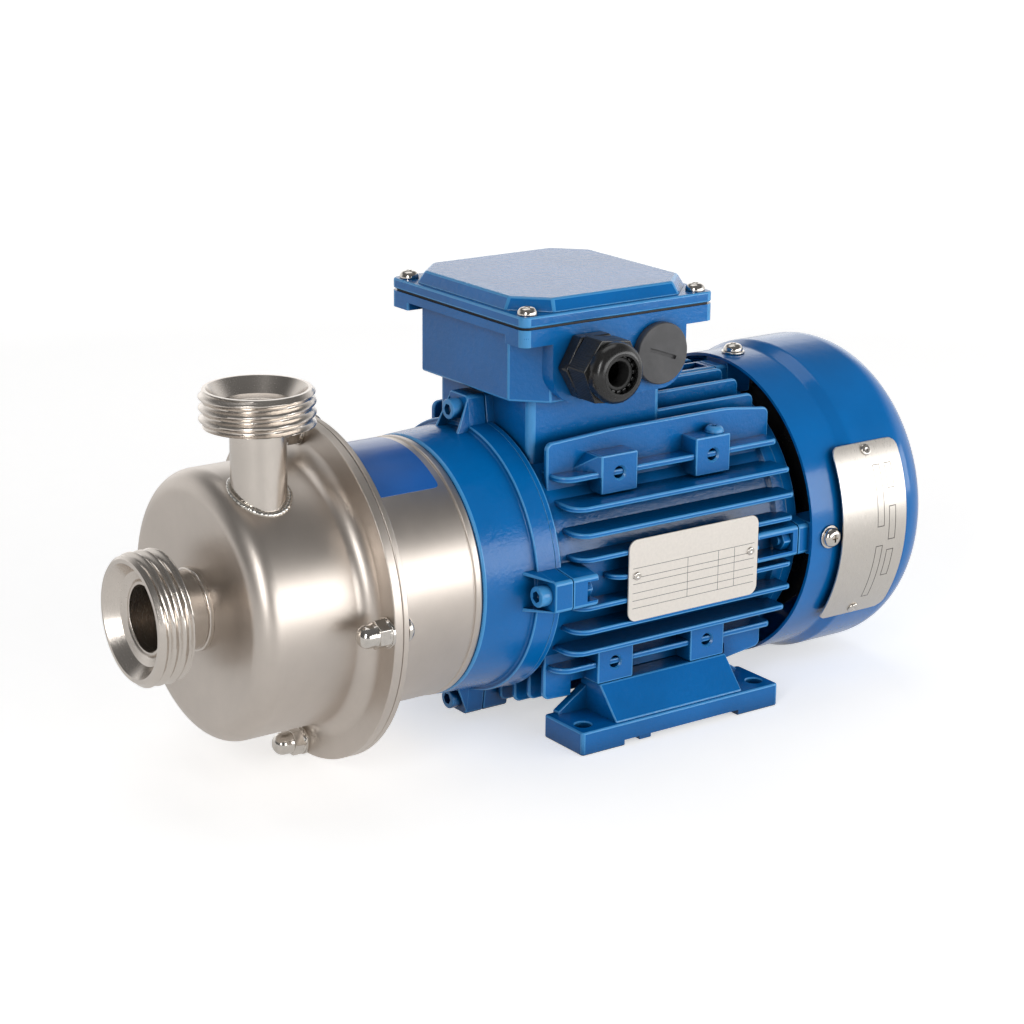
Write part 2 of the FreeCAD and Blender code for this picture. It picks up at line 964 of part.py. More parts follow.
def outer_fin_outline(start, end):
    """The outermost upright fin has an arched top."""
    foot = fin_foot
    return [
        (start, foot), (end, foot), (end, outer_fin_top - outer_fin_rear_drop, upright_fin_round),
        (end - outer_fin_rear_fall, outer_fin_top), (start + outer_fin_front_rise, outer_fin_top),
        (start, outer_fin_top - outer_fin_front_drop, upright_fin_round)
    ]


def side_fins():
    """Level fins on both sides of the frame."""
    start = frame_front_x + front_band_length + fin_front_gap
    end = frame_rear_x - fin_rear_gap
    middle = (start + end) / 2
    fins = []
    for row in range(-fin_rows, fin_rows + 1):
        level = row * fin_pitch
        ends = (start, end)
        if row == 0:
            ends = (middle - middle_fin_length / 2, middle + middle_fin_length / 2)
        low = level - fin_thickness / 2
        outline = fin_outline(ends[0], ends[1], fin_reach(row), fin_front_round)
        fin = plan_plate(outline, low, low + fin_thickness)
        fins.append(fin)
        fins.append(mirror_y(fin))
    return fins


def upright_fins():
    """Upright fins on top of the frame and below it."""
    start = frame_front_x + front_band_length + upright_fin_front_gap
    end = frame_rear_x - upright_fin_rear_gap
    seat_level = boss_level + boss_height / 2
    half_web = foot_web_length / 2 + foot_fin_room
    inner_y = foot_hole_spacing_y / 2 + foot_side_margin - foot_pad_width - running_gap
    foot_room = block(-half_web, half_web, inner_y, fin_circle, -shaft_height, -seat_level)
    fins = []
    for row in range(1, fin_rows + 1):
        offset = row * fin_pitch
        low = offset - fin_thickness / 2
        reach = math.sqrt(upright_fin_circle ** 2 - offset ** 2)
        outline = fin_outline(start, end, reach, upright_fin_round)
        if row == fin_rows:
            outline = outer_fin_outline(start, end)
        fin = side_plate(outline, low, low + fin_thickness)
        fins.append(fin)
        fins.append(mirror_y(fin))
        below = turn(fin, 180).cut(foot_room).cut(mirror_y(foot_room))
        fins.append(below)
        fins.append(mirror_y(below))
    return fins


def boss_centres():
    return [boss_shift - boss_spacing / 2, boss_shift + boss_spacing / 2]


def side_bosses():
    """Square bosses with a threaded hole, four on each side, and the wedge before the front one."""
    bosses = []
    holes = []
    low = boss_level - boss_height / 2
    high = boss_level + boss_height / 2
    for x in boss_centres():
        for side in (-1, 1):
            for updown in (-1, 1):
                foot = frame_bore / 2 * side
                box = block(x - boss_length / 2, x + boss_length / 2, foot, boss_face * side,
                            low * updown, high * updown)
                bosses.append(box)
                mouth = (boss_face + 1) * side
                deep = (boss_face - boss_hole_depth) * side
                hole = pin_out(x, boss_level * updown, min(mouth, deep), max(mouth, deep), boss_hole_radius)
                holes.append(hole)
    front = boss_centres()[0] - boss_length / 2
    tip = front - boss_wedge
    plan = plan_plate(
        [(front + 1, -boss_face), (front, -boss_face), (tip, boss_wedge_tip), (tip, -boss_wedge_foot),
         (front + 1, -boss_wedge_foot)], low, high
    )
    side = side_plate(
        [(front + 1, boss_level - 1), (front + 1, high), (front - 1, high), (tip, boss_level),
         (tip, boss_level - 1)], -boss_face, -boss_wedge_foot
    )
    wedge = plan.common(side)
    bosses.extend([wedge, mirror_y(wedge)])
    return bosses, holes


def foot_screw_places():
    inner = foot_hole_spacing_y / 2 + foot_side_margin - foot_pad_width
    y = (inner + foot_wall + boss_face - foot_wall / 2) / 2
    return [(x, y) for x in boss_centres()]


def pedestal_outline():
    return rectangle(box_x, 0, 2 * pedestal_half_x, 2 * pedestal_half_y, pedestal_round)


def make_stator_frame():
    band_end = frame_front_x + front_band_length
    barrel = turned([
        (frame_front_x, frame_bore / 2),
        (frame_front_x, front_rim_radius),
        (band_end, front_band_radius, band_round),
        (band_end + band_taper, frame_root, barrel_round),
        (frame_rear_x - rear_band_length - band_taper, frame_root, barrel_round),
        (frame_rear_x - rear_band_length, rear_band_radius, barrel_round),
        (frame_rear_x, rear_band_radius),
        (frame_rear_x, frame_bore / 2),
    ])
    bosses, holes = side_bosses()
    pedestal = plan_plate(pedestal_outline(), frame_bore / 2, pedestal_top)
    front_ear = ear(frame_front_x, frame_front_x + front_ear_frame_length, front_ear_top)
    rear_ear = ear(frame_rear_x - rear_ear_frame_length, frame_rear_x, rear_ear_top)
    ears = around(front_ear, upright) + around(rear_ear, upright)
    body = fuse([barrel, pedestal] + side_fins() + upright_fins() + bosses + ears)

    pocket_half = nut_across_flats / 2 + slip_gap
    front_pocket_x = frame_front_x + front_ear_frame_length - nut_pocket_length
    pocket_depth = nut_corner + slip_gap
    front_pocket = block(front_pocket_x, front_pocket_x + nut_pocket_length + 1, -pocket_half, pocket_half,
                         front_ear_circle - pocket_depth, front_ear_top + 1)
    rear_pocket_x = frame_rear_x - rear_ear_frame_length
    rear_pocket = block(rear_pocket_x - 1, rear_pocket_x + rear_pocket_length, -pocket_half, pocket_half,
                        rear_ear_circle - pocket_depth, rear_ear_top + 1)
    front_tie = rod(frame_front_x - 1, front_pocket_x + 1, tie_radius + slip_gap, 0, front_ear_circle)
    rear_seat_x = rear_pocket_x + rear_pocket_length
    rear_tie = rod(rear_seat_x - 1, frame_rear_x + 1, tie_radius + slip_gap, 0, rear_ear_circle)
    for tool in (front_pocket, rear_pocket, front_tie, rear_tie):
        holes.extend(around(tool, upright))
    holes.append(rod(frame_front_x - 1, frame_rear_x + 1, frame_bore))
    holes.append(post(box_x, 0, 0, pedestal_top + 1, wire_hole_radius))
    seat_level = boss_level + boss_height / 2
    for x, y in foot_screw_places():
        for side in (-1, 1):
            top = -seat_level + foot_screw_grip + slip_gap
            holes.append(post(x, y * side, -seat_level - 1, top, foot_screw_radius + slip_gap))
    for x, y in box_screw_places():
        low = pedestal_top - box_screw_length
        holes.append(post(x, y, low, pedestal_top + 1, box_screw_radius + slip_gap))
    for x in nameplate_rivet_places():
        holes.append(pin_out(x, 0, -fin_flat - 1, -fin_flat + rivet_length, rivet_radius + slip_gap))
    x, y = earth_screw_place()
    holes.append(post(x, y, seat_level - earth_screw_length, seat_level + 1, earth_screw_radius + slip_gap))
    return drill(body, holes)


def earth_screw_place():
    return boss_centres()[1] + earth_screw_shift, -boss_face + earth_screw_inset


def make_earth_screw():
    x, y = earth_screw_place()
    seat = boss_level + boss_height / 2
    head = domed_head(earth_screw_head, earth_screw_height, earth_screw_round)
    screw = fuse([head, rod(-earth_screw_length, 0, earth_screw_radius)])
    return aim(screw, x, y, seat, Vector(0, 0, 1))


def make_tie_screws():
    front_seat = frame_front_x - front_ear_shield_length
    front_head = front_seat - tie_head_length
    front_tip = frame_front_x + front_ear_frame_length - nut_pocket_length + nut_length + tie_screw_proud
    socket = rod(front_head - 1, front_head + tie_socket_depth, tie_socket_radius)
    front = fuse([rod(front_head, front_seat, tie_head_radius), rod(front_seat, front_tip, tie_radius)])
    front = front.cut(socket)
    front.translate(Vector(0, 0, front_ear_circle))
    rear_seat = rear_ring_x - rear_head_sink
    rear_tip = frame_rear_x - rear_ear_frame_length + rear_pocket_length - nut_length - tie_screw_proud
    rear = fuse([rod(rear_seat, rear_ring_x, tie_head_radius), rod(rear_tip, rear_seat, tie_radius)])
    rear.translate(Vector(0, 0, rear_ear_circle))
    return group(around(front, upright) + around(rear, upright))


def make_tie_nuts():
    hole = tie_radius + slip_gap
    front_x = frame_front_x + front_ear_frame_length - nut_pocket_length
    rear_x = frame_rear_x - rear_ear_frame_length + rear_pocket_length - nut_length
    nuts = []
    for x, circle in ((front_x, front_ear_circle), (rear_x, rear_ear_circle)):
        nut = hexagon(x, x + nut_length, nut_across_flats).cut(rod(x - 1, x + nut_length + 1, hole))
        nut.rotate(Vector(0, 0, 0), Vector(1, 0, 0), hexagon_half_step)
        nut.translate(Vector(0, 0, circle))
        nuts.extend(around(nut, upright))
    return group(nuts)


def make_foot():
    """Foot on the -Y side: pad, sloped web up to the bosses, gussets, and hollow underside."""
    outer = -(foot_hole_spacing_y / 2 + foot_side_margin)
    inner = outer + foot_pad_width
    half_length = foot_hole_spacing_x / 2 + foot_end_margin
    half_web = foot_web_length / 2
    floor = -shaft_height
    pad_top = floor + foot_pad_height
    seat = -(boss_level + boss_height / 2)
    outline = rectangle(0, (outer + inner) / 2, 2 * half_length, foot_pad_width, foot_pad_round)
    pad = plan_plate(outline, floor, pad_top)
    web = end_plate(
        [(outer + foot_web_step, pad_top - 1), (outer + foot_web_step, pad_top), (-boss_face, seat),
         (inner, seat), (inner, pad_top - 1)], -half_web, half_web
    )
    gusset_top = seat - foot_gusset_drop / 2
    gusset_end = half_web + foot_gusset_length
    gusset = side_plate(
        [(-gusset_end, pad_top - 1), (-gusset_end, pad_top + 1), (-half_web, gusset_top),
         (half_web, gusset_top), (gusset_end, pad_top + 1), (gusset_end, pad_top - 1)],
        inner - foot_wall, inner
    )
    body = fuse([pad, web, gusset])
    half_relief = foot_relief_length / 2
    relief = block(-half_relief, half_relief, outer - 1, inner + 1, floor, floor + foot_relief_depth)
    lug_x = -foot_lug_place
    half_lug = foot_lug_length / 2
    lug_low = floor + foot_lug_level
    lug_end = outer + foot_wall
    lug = block(lug_x - half_lug, lug_x + half_lug, outer, lug_end, lug_low, floor + foot_relief_depth)
    relief = relief.cut(lug)
    pocket = end_plate(
        [(outer + foot_wall, floor - 1), (outer + foot_wall, pad_top - foot_wall / 2),
         (-boss_face + foot_wall / 2, seat - foot_wall), (inner - foot_wall, seat - foot_wall),
         (inner - foot_wall, floor - 1)],
        -half_web + foot_wall, half_web - foot_wall
    )
    tools = [relief, pocket]
    for x in (-foot_hole_spacing_x / 2, foot_hole_spacing_x / 2):
        tools.append(post(x, -foot_hole_spacing_y / 2, floor - 1, pad_top + 1, foot_hole_radius))
    for x, y in foot_screw_places():
        tools.append(post(x, -y, floor, seat + 1, foot_screw_radius + slip_gap))
    return drill(body, tools)


def make_foot_screws():
    seat = -(boss_level + boss_height / 2)
    head_top = seat - foot_wall
    screws = []
    for x, y in foot_screw_places():
        for side in (-1, 1):
            head = post(x, y * side, head_top - foot_screw_head_length, head_top, foot_screw_head)
            shank = post(x, y * side, head_top, seat + foot_screw_grip, foot_screw_radius)
            screws.append(fuse([head, shank]))
    return group(screws)


def make_rear_endshield():
    plate_x = frame_rear_x + rear_plate_inset
    hub_outer = bearing_outer + hub_wall
    bearing_end = rear_bearing_x + bearing_width
    hub_front = rear_bearing_x - rear_hub_front
    shell = turned([
        (hub_front, bearing_outer),
        (hub_front, hub_outer),
        (plate_x, hub_outer + 2),
        (plate_x, frame_bore - register_wall),
        (frame_rear_x - register_length, frame_bore - register_wall),
        (frame_rear_x - register_length, frame_bore - slip_gap),
        (frame_rear_x, frame_bore - slip_gap),
        (frame_rear_x, rear_ring_radius),
        (rear_ring_x, rear_ring_radius, barrel_round),
        (rear_ring_x, hub_outer + hub_foot, hub_foot_round),
        (rear_hub_end, hub_outer - 1),
        (rear_hub_end, shaft_body_radius),
        (bearing_end, shaft_body_radius),
        (bearing_end, bearing_outer),
    ])
    ears = around(ear(frame_rear_x, rear_ring_x, rear_ear_top), upright)
    half = cover_lug_width / 2
    lug_start = rear_ring_x - overlap
    lug_end = rear_ring_x + cover_lug_length
    lug = block(lug_start, lug_end, -half, half, cover_lug_foot, cover_front_radius)
    lug = lug.common(rod(lug_start, lug_end, cover_front_bore - slip_gap))
    body = fuse([shell] + ears + around(lug, upright))
    tie = rod(frame_rear_x - 1, rear_ring_x + 1, tie_radius + slip_gap, 0, rear_ear_circle)
    head_room = tie_head_radius + running_gap
    access = rod(rear_ring_x - rear_head_sink, lug_end + 1, head_room, 0, rear_ear_circle)
    screw_hole = post(cover_screw_x, 0, rear_ear_circle, cover_front_radius, cover_screw_radius + slip_gap)
    holes = []
    for tool in (tie, access, screw_hole):
        holes.extend(around(tool, upright))
    return drill(body, holes)


def make_bearing_ring(x, inner, outer):
    """Bearing ring with the track for the balls."""
    plain = ring(x, x + bearing_width, outer, inner)
    centre = Vector(x + bearing_width / 2, 0, 0)
    track = Part.makeTorus(bearing_pitch_radius, ball_radius + bearing_gap, centre, Vector(1, 0, 0))
    return plain.cut(track)


def make_outer_rings():
    inner = bearing_pitch_radius + race_shoulder
    outer = bearing_outer - seat_gap
    return group([make_bearing_ring(x, inner, outer) for x in (front_bearing_x, rear_bearing_x)])


def make_inner_rings():
    outer = bearing_pitch_radius - race_shoulder
    inner = bearing_bore
    return group([make_bearing_ring(x, inner, outer) for x in (front_bearing_x, rear_bearing_x)])


def make_ball_set(x):
    """Balls with the ring-shaped cage between them."""
    middle = x + bearing_width / 2
    ball = Part.makeSphere(ball_radius, Vector(middle, 0, bearing_pitch_radius))
    angles = [360 * step / ball_count for step in range(ball_count)]
    half = race_shoulder - running_gap
    start = middle - cage_width / 2
    cage = ring(start, start + cage_width, bearing_pitch_radius + half, bearing_pitch_radius - half)
    hollow = Part.makeSphere(ball_radius + bearing_gap, Vector(middle, 0, bearing_pitch_radius))
    return group([drill(cage, around(hollow, angles))] + around(ball, angles))


def make_wave_spring():
    start = front_bearing_x - wave_spring_length
    return ring(start, front_bearing_x, bearing_outer - running_gap, bearing_outer - register_wall)


def make_shaft_seal():
    nose_x = shield_face_x - spigot_length
    outer = shaft_seal_radius - seat_gap
    return turned([
        (nose_x, outer),
        (nose_x, bearing_bore + seal_lip_flare),
        (nose_x + seal_lip_start, bearing_bore + bearing_gap),
        (nose_x + seal_lip_end, bearing_bore + bearing_gap),
        (nose_x + seal_lip_back, seal_hole_radius - 1),
        (nose_x + shaft_seal_length, seal_hole_radius - 1),
        (nose_x + shaft_seal_length, outer),
    ])


def make_stator_core():
    half = rotor_length / 2
    return ring(-half, half, frame_bore - seat_gap, rotor_radius + air_gap)


def make_end_windings():
    start = rotor_length / 2
    bundle = turned([
        (start, winding_inner),
        (start, winding_outer),
        (start + winding_length, winding_outer, winding_round),
        (start + winding_length, winding_inner, winding_round),
    ])
    return group([bundle, turn(bundle.mirror(Vector(0, 0, 0), Vector(1, 0, 0)), 0)])


def make_motor_shaft():
    front_seat_end = front_bearing_x + bearing_width
    half_seat = rotor_length / 2 + end_ring_length
    shaft = turned([
        (shaft_front_x, 0),
        (shaft_front_x, shaft_radius, shaft_end_round),
        (shaft_shoulder_x, shaft_radius),
        (shaft_shoulder_x, bearing_bore - seat_gap),
        (front_seat_end, bearing_bore - seat_gap),
        (front_seat_end, shaft_body_radius),
        (-half_seat, shaft_body_radius),
        (-half_seat, rotor_seat_radius),
        (half_seat, rotor_seat_radius),
        (half_seat, shaft_body_radius),
        (rear_bearing_x, shaft_body_radius),
        (rear_bearing_x, bearing_bore - seat_gap),
        (rear_hub_end, bearing_bore - seat_gap),
        (rear_hub_end, shaft_radius),
        (shaft_end_x, shaft_radius, shaft_end_round),
        (shaft_end_x, 0),
    ])
    clip_x = fan_x + fan_hub_length
    groove_end = clip_x + circlip_thickness + slip_gap
    groove = ring(clip_x, groove_end, shaft_radius + 1, shaft_radius - circlip_groove)
    return shaft.cut(key_block(slip_gap)).cut(groove)


def key_block(gap):
    middle = shaft_front_x + 2 + key_length / 2
    half = key_length / 2 + gap
    half_width = key_width / 2 + gap
    low = shaft_radius - key_depth
    return block(middle - half, middle + half, -half_width, half_width, low - gap, low + key_height + gap)


def make_rotor_core():
    half = rotor_length / 2
    inner = rotor_seat_radius + seat_gap
    return turned([
        (-half - end_ring_length, end_ring_bore),
        (-half - end_ring_length, end_ring_radius, end_ring_round),
        (-half, end_ring_radius),
        (-half, rotor_radius),
        (half, rotor_radius),
        (half, end_ring_radius),
        (half + end_ring_length, end_ring_radius, end_ring_round),
        (half + end_ring_length, end_ring_bore),
        (half, end_ring_bore),
        (half, inner),
        (-half, inner),
        (-half, end_ring_bore),
    ])


def make_pump_shaft():
    bore = shaft_radius + slip_gap
    sleeve_rear = shaft_shoulder_x - sleeve_rear_gap
    sleeve_front = shaft_front_x - sleeve_front_wall
    seat_front = impeller_rear_x - impeller_back - vane_width_eye + impeller_seat_step
    body = turned([
        (seat_front - impeller_nut_length + 2, 0),
        (seat_front - impeller_nut_length + 2, nut_seat_radius),
        (seat_front, nut_seat_radius),
        (seat_front, impeller_seat_radius),
        (impeller_rear_x, impeller_seat_radius),
        (impeller_rear_x, pump_shaft_radius),
        (sleeve_front - sleeve_step, pump_shaft_radius),
        (sleeve_front, sleeve_radius, sleeve_round),
        (sleeve_rear, sleeve_radius),
        (sleeve_rear, bore),
        (shaft_front_x - slip_gap, bore),
        (shaft_front_x - slip_gap, 0),
    ])
    return drill(body, [key_block(slip_gap)] + clamp_screws(slip_gap))


def clamp_screws(gap):
    middle = shaft_front_x + 2 + key_length / 2
    head = -sleeve_radius + clamp_screw_sink - 10 * gap
    screws = []
    for side in (-0.5, 0.5):
        x = middle + side * clamp_screw_spacing
        screws.append(pin_out(x, 0, head, -shaft_radius - slip_gap, clamp_screw_radius + gap))
    return screws


def make_clamp_screws():
    return group(clamp_screws(0))


def make_vane():
    """One backward-curved blade: a slice of a thin cylinder between hub and rim."""
    rear = impeller_rear_x - impeller_back + overlap
    front = rear - vane_width_eye - 2
    half = vane_thickness / 2
    blade = ring(front, rear, vane_bend + half, vane_bend - half)
    blade.translate(Vector(0, vane_offset, 0))
    keep = block(front, rear, -2 * impeller_radius, 2 * impeller_radius, 0, 2 * impeller_radius)
    return blade.common(keep).common(ring(front, rear, impeller_radius, hub_radius - 1))


def make_impeller():
    """Closed impeller: rear disc with hub, curved vanes, front shroud with its eye collar."""
    rear = impeller_rear_x
    disc_front = rear - impeller_back
    tip_front = disc_front - vane_width_tip
    eye_front = disc_front - vane_width_eye
    hub_front = eye_front + impeller_nose
    collar_front = front_wall_x + eye_collar_gap
    body = turned([
        (rear, impeller_seat_radius + seat_gap),
        (rear, impeller_radius),
        (disc_front, impeller_radius),
        (disc_front, hub_radius + hub_flare, hub_flare),
        (hub_front, hub_radius),
        (hub_front, impeller_seat_radius + seat_gap),
    ])
    shroud = turned([
        (tip_front, impeller_radius),
        (eye_front, eye_collar_radius + eye_flare, eye_flare),
        (collar_front, eye_collar_radius),
        (collar_front, eye_radius),
        (eye_front + 1, eye_radius, eye_flare),
        (tip_front + impeller_front, impeller_radius),
    ])
    passage = turned([
        (disc_front + overlap, 0),
        (disc_front + overlap, impeller_radius),
        (tip_front + impeller_front / 2, impeller_radius),
        (eye_front + shroud_wall, eye_radius + 1),
        (eye_front + shroud_wall, 0),
    ])
    angles = [360 * step / vane_count for step in range(vane_count)]
    vanes = [vane.common(passage) for vane in around(make_vane(), angles)]
    return fuse([body, shroud] + vanes)


def make_impeller_nut():
    rear = impeller_rear_x - impeller_back - vane_width_eye + impeller_seat_step
    front = rear - impeller_nut_length
    nut = turned([
        (rear, nut_seat_radius + slip_gap),
        (rear, impeller_nut_radius),
        (front, impeller_nut_radius, impeller_nut_round),
        (front, 0),
        (front + 2 - slip_gap, 0),
        (front + 2 - slip_gap, nut_seat_radius + slip_gap),
    ])
    return nut


def make_fan():
    hub = ring(fan_x, fan_x + fan_hub_length, fan_hub_radius, shaft_radius + seat_gap)
    disc = ring(fan_x, fan_x + fan_disc_thickness, fan_radius - fan_disc_inset, fan_hub_radius - 1)
    start = fan_x + fan_disc_thickness - overlap
    end = start + fan_blade_length
    half = fan_blade_thickness / 2
    blade = side_plate(
        [(start, fan_hub_radius - 1), (start, fan_radius), (end, fan_radius, fan_blade_round),
         (end, fan_radius / 2, fan_blade_round), (start + fan_hub_length / 2, fan_hub_radius - 1)],
        -half, half
    )
    angles = [360 * step / fan_blade_count for step in range(fan_blade_count)]
    return fuse([hub, disc] + around(blade, angles))


def make_fan_circlip():
    x = fan_x + fan_hub_length
    inner = shaft_radius - circlip_groove + slip_gap
    clip = ring(x, x + circlip_thickness, circlip_radius, inner)
    return clip.cut(block(x - 1, x + 2, -2, 2, 0, circlip_radius + 1))


def grille_slots():
    """Rings of curved slots in the rear face of the fan cover."""
    x0 = cover_rear_x - cover_wall - 1
    x1 = cover_rear_x + 1
    slots = []
    for row in range(grille_rows):
        low = grille_first_radius + row * grille_row_pitch
        high = low + grille_slot_height
        count = grille_first_slots + grille_more_slots * row
        band = ring(x0, x1, high, low)
        web = block(x0 - 1, x1 + 1, -grille_slot_web / 2, grille_slot_web / 2, 0, high + 1)
        webs = around(web, [360 * step / count for step in range(count)])
        slots.append(band.cut(group(webs)))
    return slots


def cover_profile(inset):
    """Outer line of the fan cover, moved inward by inset, from front rim to centre."""
    step_end = cover_step_x + cover_step_length
    return [
        (cover_x, cover_front_radius - inset),
        (cover_step_x, cover_front_radius - inset, cover_step_round),
        (step_end, cover_barrel_radius - inset, cover_step_round),
        (cover_rear_x - inset, cover_barrel_radius - inset, cover_crown - inset),
        (cover_rear_x - inset, 0),
    ]


def make_fan_cover():
    outer = cover_profile(0)
    inner = cover_profile(cover_wall)
    inner.reverse()
    shell = turned(outer + inner)
    hole_radius = cover_screw_radius + slip_gap
    hole = post(cover_screw_x, 0, cover_front_bore - 2, cover_front_radius + 2, hole_radius)
    holes = around(hole, upright) + grille_slots()
    holes.extend(cover_rivets(cover_rivet_radius + slip_gap, 0))
    return drill(shell, holes)


def make_cover_screws():
    washer = rod(0, washer_thickness, washer_radius)
    head = domed_head(cover_screw_head, cover_screw_height, cover_screw_round)
    head.translate(Vector(washer_thickness, 0, 0))
    shank = rod(-cover_screw_length + cover_wall, washer_thickness, cover_screw_radius)
    screw = fuse([washer, head, shank])
    screw = aim(screw, cover_screw_x, 0, cover_front_radius + slip_gap, Vector(0, 0, 1))
    return group(around(screw, upright))


def make_cover_plate():
    """Curved data plate on the barrel of the fan cover, left bare."""
    start = cover_plate_x - cover_plate_length / 2
    inner = cover_barrel_radius + seat_gap
    sheet = ring(start, start + cover_plate_length, inner + cover_plate_thickness, inner)
    outline = rectangle(
        cover_plate_x, (cover_plate_low + cover_plate_high) / 2, cover_plate_length,
        cover_plate_high - cover_plate_low, cover_plate_round
    )
    window = side_plate(outline, -2 * cover_barrel_radius, 0)
    plate = sheet.common(window)
    return drill(plate, cover_rivets(cover_rivet_radius + slip_gap, 0))


def cover_rivets(radius, head):
    """Rivets through plate and cover; with a head radius they also get their heads."""
    surface = cover_barrel_radius + seat_gap + cover_plate_thickness
    rivets = []
    for level in (cover_rivet_high, cover_rivet_low):
        rivet = rod(-cover_rivet_length, 0, radius)
        if head:
            rivet = fuse([rivet, domed_head(head, cover_rivet_height, cover_rivet_round)])
        rise = math.degrees(math.asin(level / surface))
        upward = aim(rivet, cover_plate_x, 0, surface + slip_gap, Vector(0, 0, 1))
        rivets.append(turn(upward, 90 - rise))
    return rivets


def make_cover_plate_rivets():
    return group(cover_rivets(cover_rivet_radius, cover_rivet_head))


def nameplate_rivet_places():
    half = nameplate_rivet_spacing / 2
    return [nameplate_x - half, nameplate_x + half]


def make_nameplate():
    outline = rectangle(nameplate_x, nameplate_level, nameplate_length, nameplate_height, nameplate_round)
    plate = side_plate(outline, -fin_flat - nameplate_thickness, -fin_flat)
    holes = []
    for x in nameplate_rivet_places():
        holes.append(pin_out(x, 0, -fin_flat - 2, -fin_flat + 1, rivet_radius + slip_gap))
    return drill(plate, holes)


def make_nameplate_rivets():
    face = -fin_flat - nameplate_thickness
    rivets = []
    for x in nameplate_rivet_places():
        cap = domed_head(rivet_head_radius, rivet_head_height, rivet_round)
        rivet = fuse([cap, rod(-rivet_length, 0, rivet_radius)])
        rivets.append(aim(rivet, x, face, 0, Vector(0, -1, 0)))
    return group(rivets)


def box_screw_places():
    half_x = box_screw_spacing_x / 2
    half_y = box_screw_spacing_y / 2
    return [(box_x - half_x, -half_y), (box_x + half_x, half_y)]


def lid_screw_places():
    places = []
    for sx in (-1, 1):
        for sy in (-1, 1):
            places.append((box_x + sx * lid_screw_offset, sy * lid_screw_offset))
    return places


def box_floor():
    return pedestal_top + box_gasket_thickness


def rim_top():
    return box_floor() + box_height


def make_box_gasket():
    sheet = plan_plate(pedestal_outline(), pedestal_top, box_floor())
    holes = [post(box_x, 0, pedestal_top - 1, box_floor() + 1, wire_hole_radius)]
    for x, y in box_screw_places():
        holes.append(post(x, y, pedestal_top - 1, box_floor() + 1, box_screw_radius + slip_gap))
    return drill(sheet, holes)


def make_terminal_box():
    floor = box_floor()
    top = rim_top()
    rim_low = top - rim_thickness
    tub = plan_plate(cut_square(box_x, box_half, box_cut), floor, top - 1)
    rim = plan_plate(rectangle(box_x, 0, 2 * rim_half, 2 * rim_half, rim_round), rim_low, top)
    shapes = [tub, rim]
    for sx in (-1, 1):
        for sy in (-1, 1):
            corner_x = box_x + sx * (rim_half - lug_length / 2)
            corner_y = sy * (rim_half - lug_width / 2)
            outline = rectangle(corner_x, corner_y, lug_length, lug_width, lug_round)
            shapes.append(plan_plate(outline, rim_low - lug_depth, rim_low + 1))
    pad_left = box_x - entry_pad_length / 2
    pad_right = box_x + entry_pad_length / 2
    outline = [(pad_left, floor, entry_pad_round), (pad_right, floor, entry_pad_round),
               (pad_right, rim_low + 1), (pad_left, rim_low + 1)]
    shapes.append(side_plate(outline, -rim_half, -box_half + 1))
    body = fuse(shapes)
    inner_half = box_half - box_wall
    inner_cut = box_cut - box_wall * cut_share
    holes = [plan_plate(cut_square(box_x, inner_half, inner_cut), floor + box_wall, top + 1)]
    holes.append(post(box_x, 0, floor - 1, floor + box_wall + 1, wire_hole_radius))
    for x, y in box_screw_places():
        holes.append(post(x, y, floor - 1, floor + box_wall + 1, box_screw_radius + slip_gap))
    for x, y in lid_screw_places():
        low = top - lid_screw_bite - lid_screw_rise
        holes.append(post(x, y, low, top + 1, lid_screw_radius + slip_gap))
    for x in (gland_x, plug_x):
        holes.append(pin_out(x, entry_level, -rim_half - 1, -inner_half + 1, entry_radius))
    return drill(body, holes)


def make_box_screws():
    floor = box_floor() + box_wall
    screws = []
    for x, y in box_screw_places():
        head = post(x, y, floor, floor + box_screw_head_length, box_screw_head)
        screws.append(fuse([head, post(x, y, pedestal_top - box_screw_length + 1, floor, box_screw_radius)]))
    return group(screws)


def make_lid_gasket():
    low = rim_top()
    sheet = plan_plate(rectangle(box_x, 0, gasket_side, gasket_side, rim_round - gasket_inset),
                       low, low + lid_gasket_thickness)
    inner = cut_square(box_x, box_half - box_wall, box_cut - box_wall * cut_share)
    holes = [plan_plate(inner, low - 1, low + 2)]
    for x, y in lid_screw_places():
        holes.append(post(x, y, low - 1, low + 2, lid_screw_radius + slip_gap))
    return drill(sheet, holes)


def sloped_block(half_low, half_high, cut, low, high):
    """Cut-corner block whose sides lean in evenly towards its top."""
    wires = []
    low_cut = cut + (half_low - half_high) * cut_share
    for half, corner, level in ((half_low, low_cut, low), (half_high, cut, high)):
        wires.append(rounded_wire(cut_square(box_x, half, corner), lambda p, z=level: Vector(p.x, p.y, z)))
    return Part.makeLoft(wires, True, True)


def make_terminal_box_lid():
    low = rim_top() + lid_gasket_thickness
    shoulder = low + lid_flange
    top = shoulder + lid_plateau_height
    plate = plan_plate(rectangle(box_x, 0, 2 * rim_half, 2 * rim_half, rim_round), low, shoulder)
    crown_half = lid_plateau_half - lid_plateau_slope
    plateau = sloped_block(lid_plateau_half, crown_half, box_cut, shoulder - overlap, top)
    crown_edges = [edge for edge in plateau.Edges if edge.BoundBox.ZMin > top - edge_tolerance]
    plateau = plateau.makeFillet(lid_edge_round, crown_edges)
    body = fuse([plate, plateau])
    inner_half = box_half - box_wall
    inner_cut = box_cut - box_wall * cut_share
    hollow = sloped_block(inner_half, inner_half - lid_plateau_slope, inner_cut, low - 1, top - lid_wall)
    holes = [hollow]
    for x, y in lid_screw_places():
        holes.append(post(x, y, low - 1, top, lid_screw_radius + slip_gap))
    return drill(body, holes)


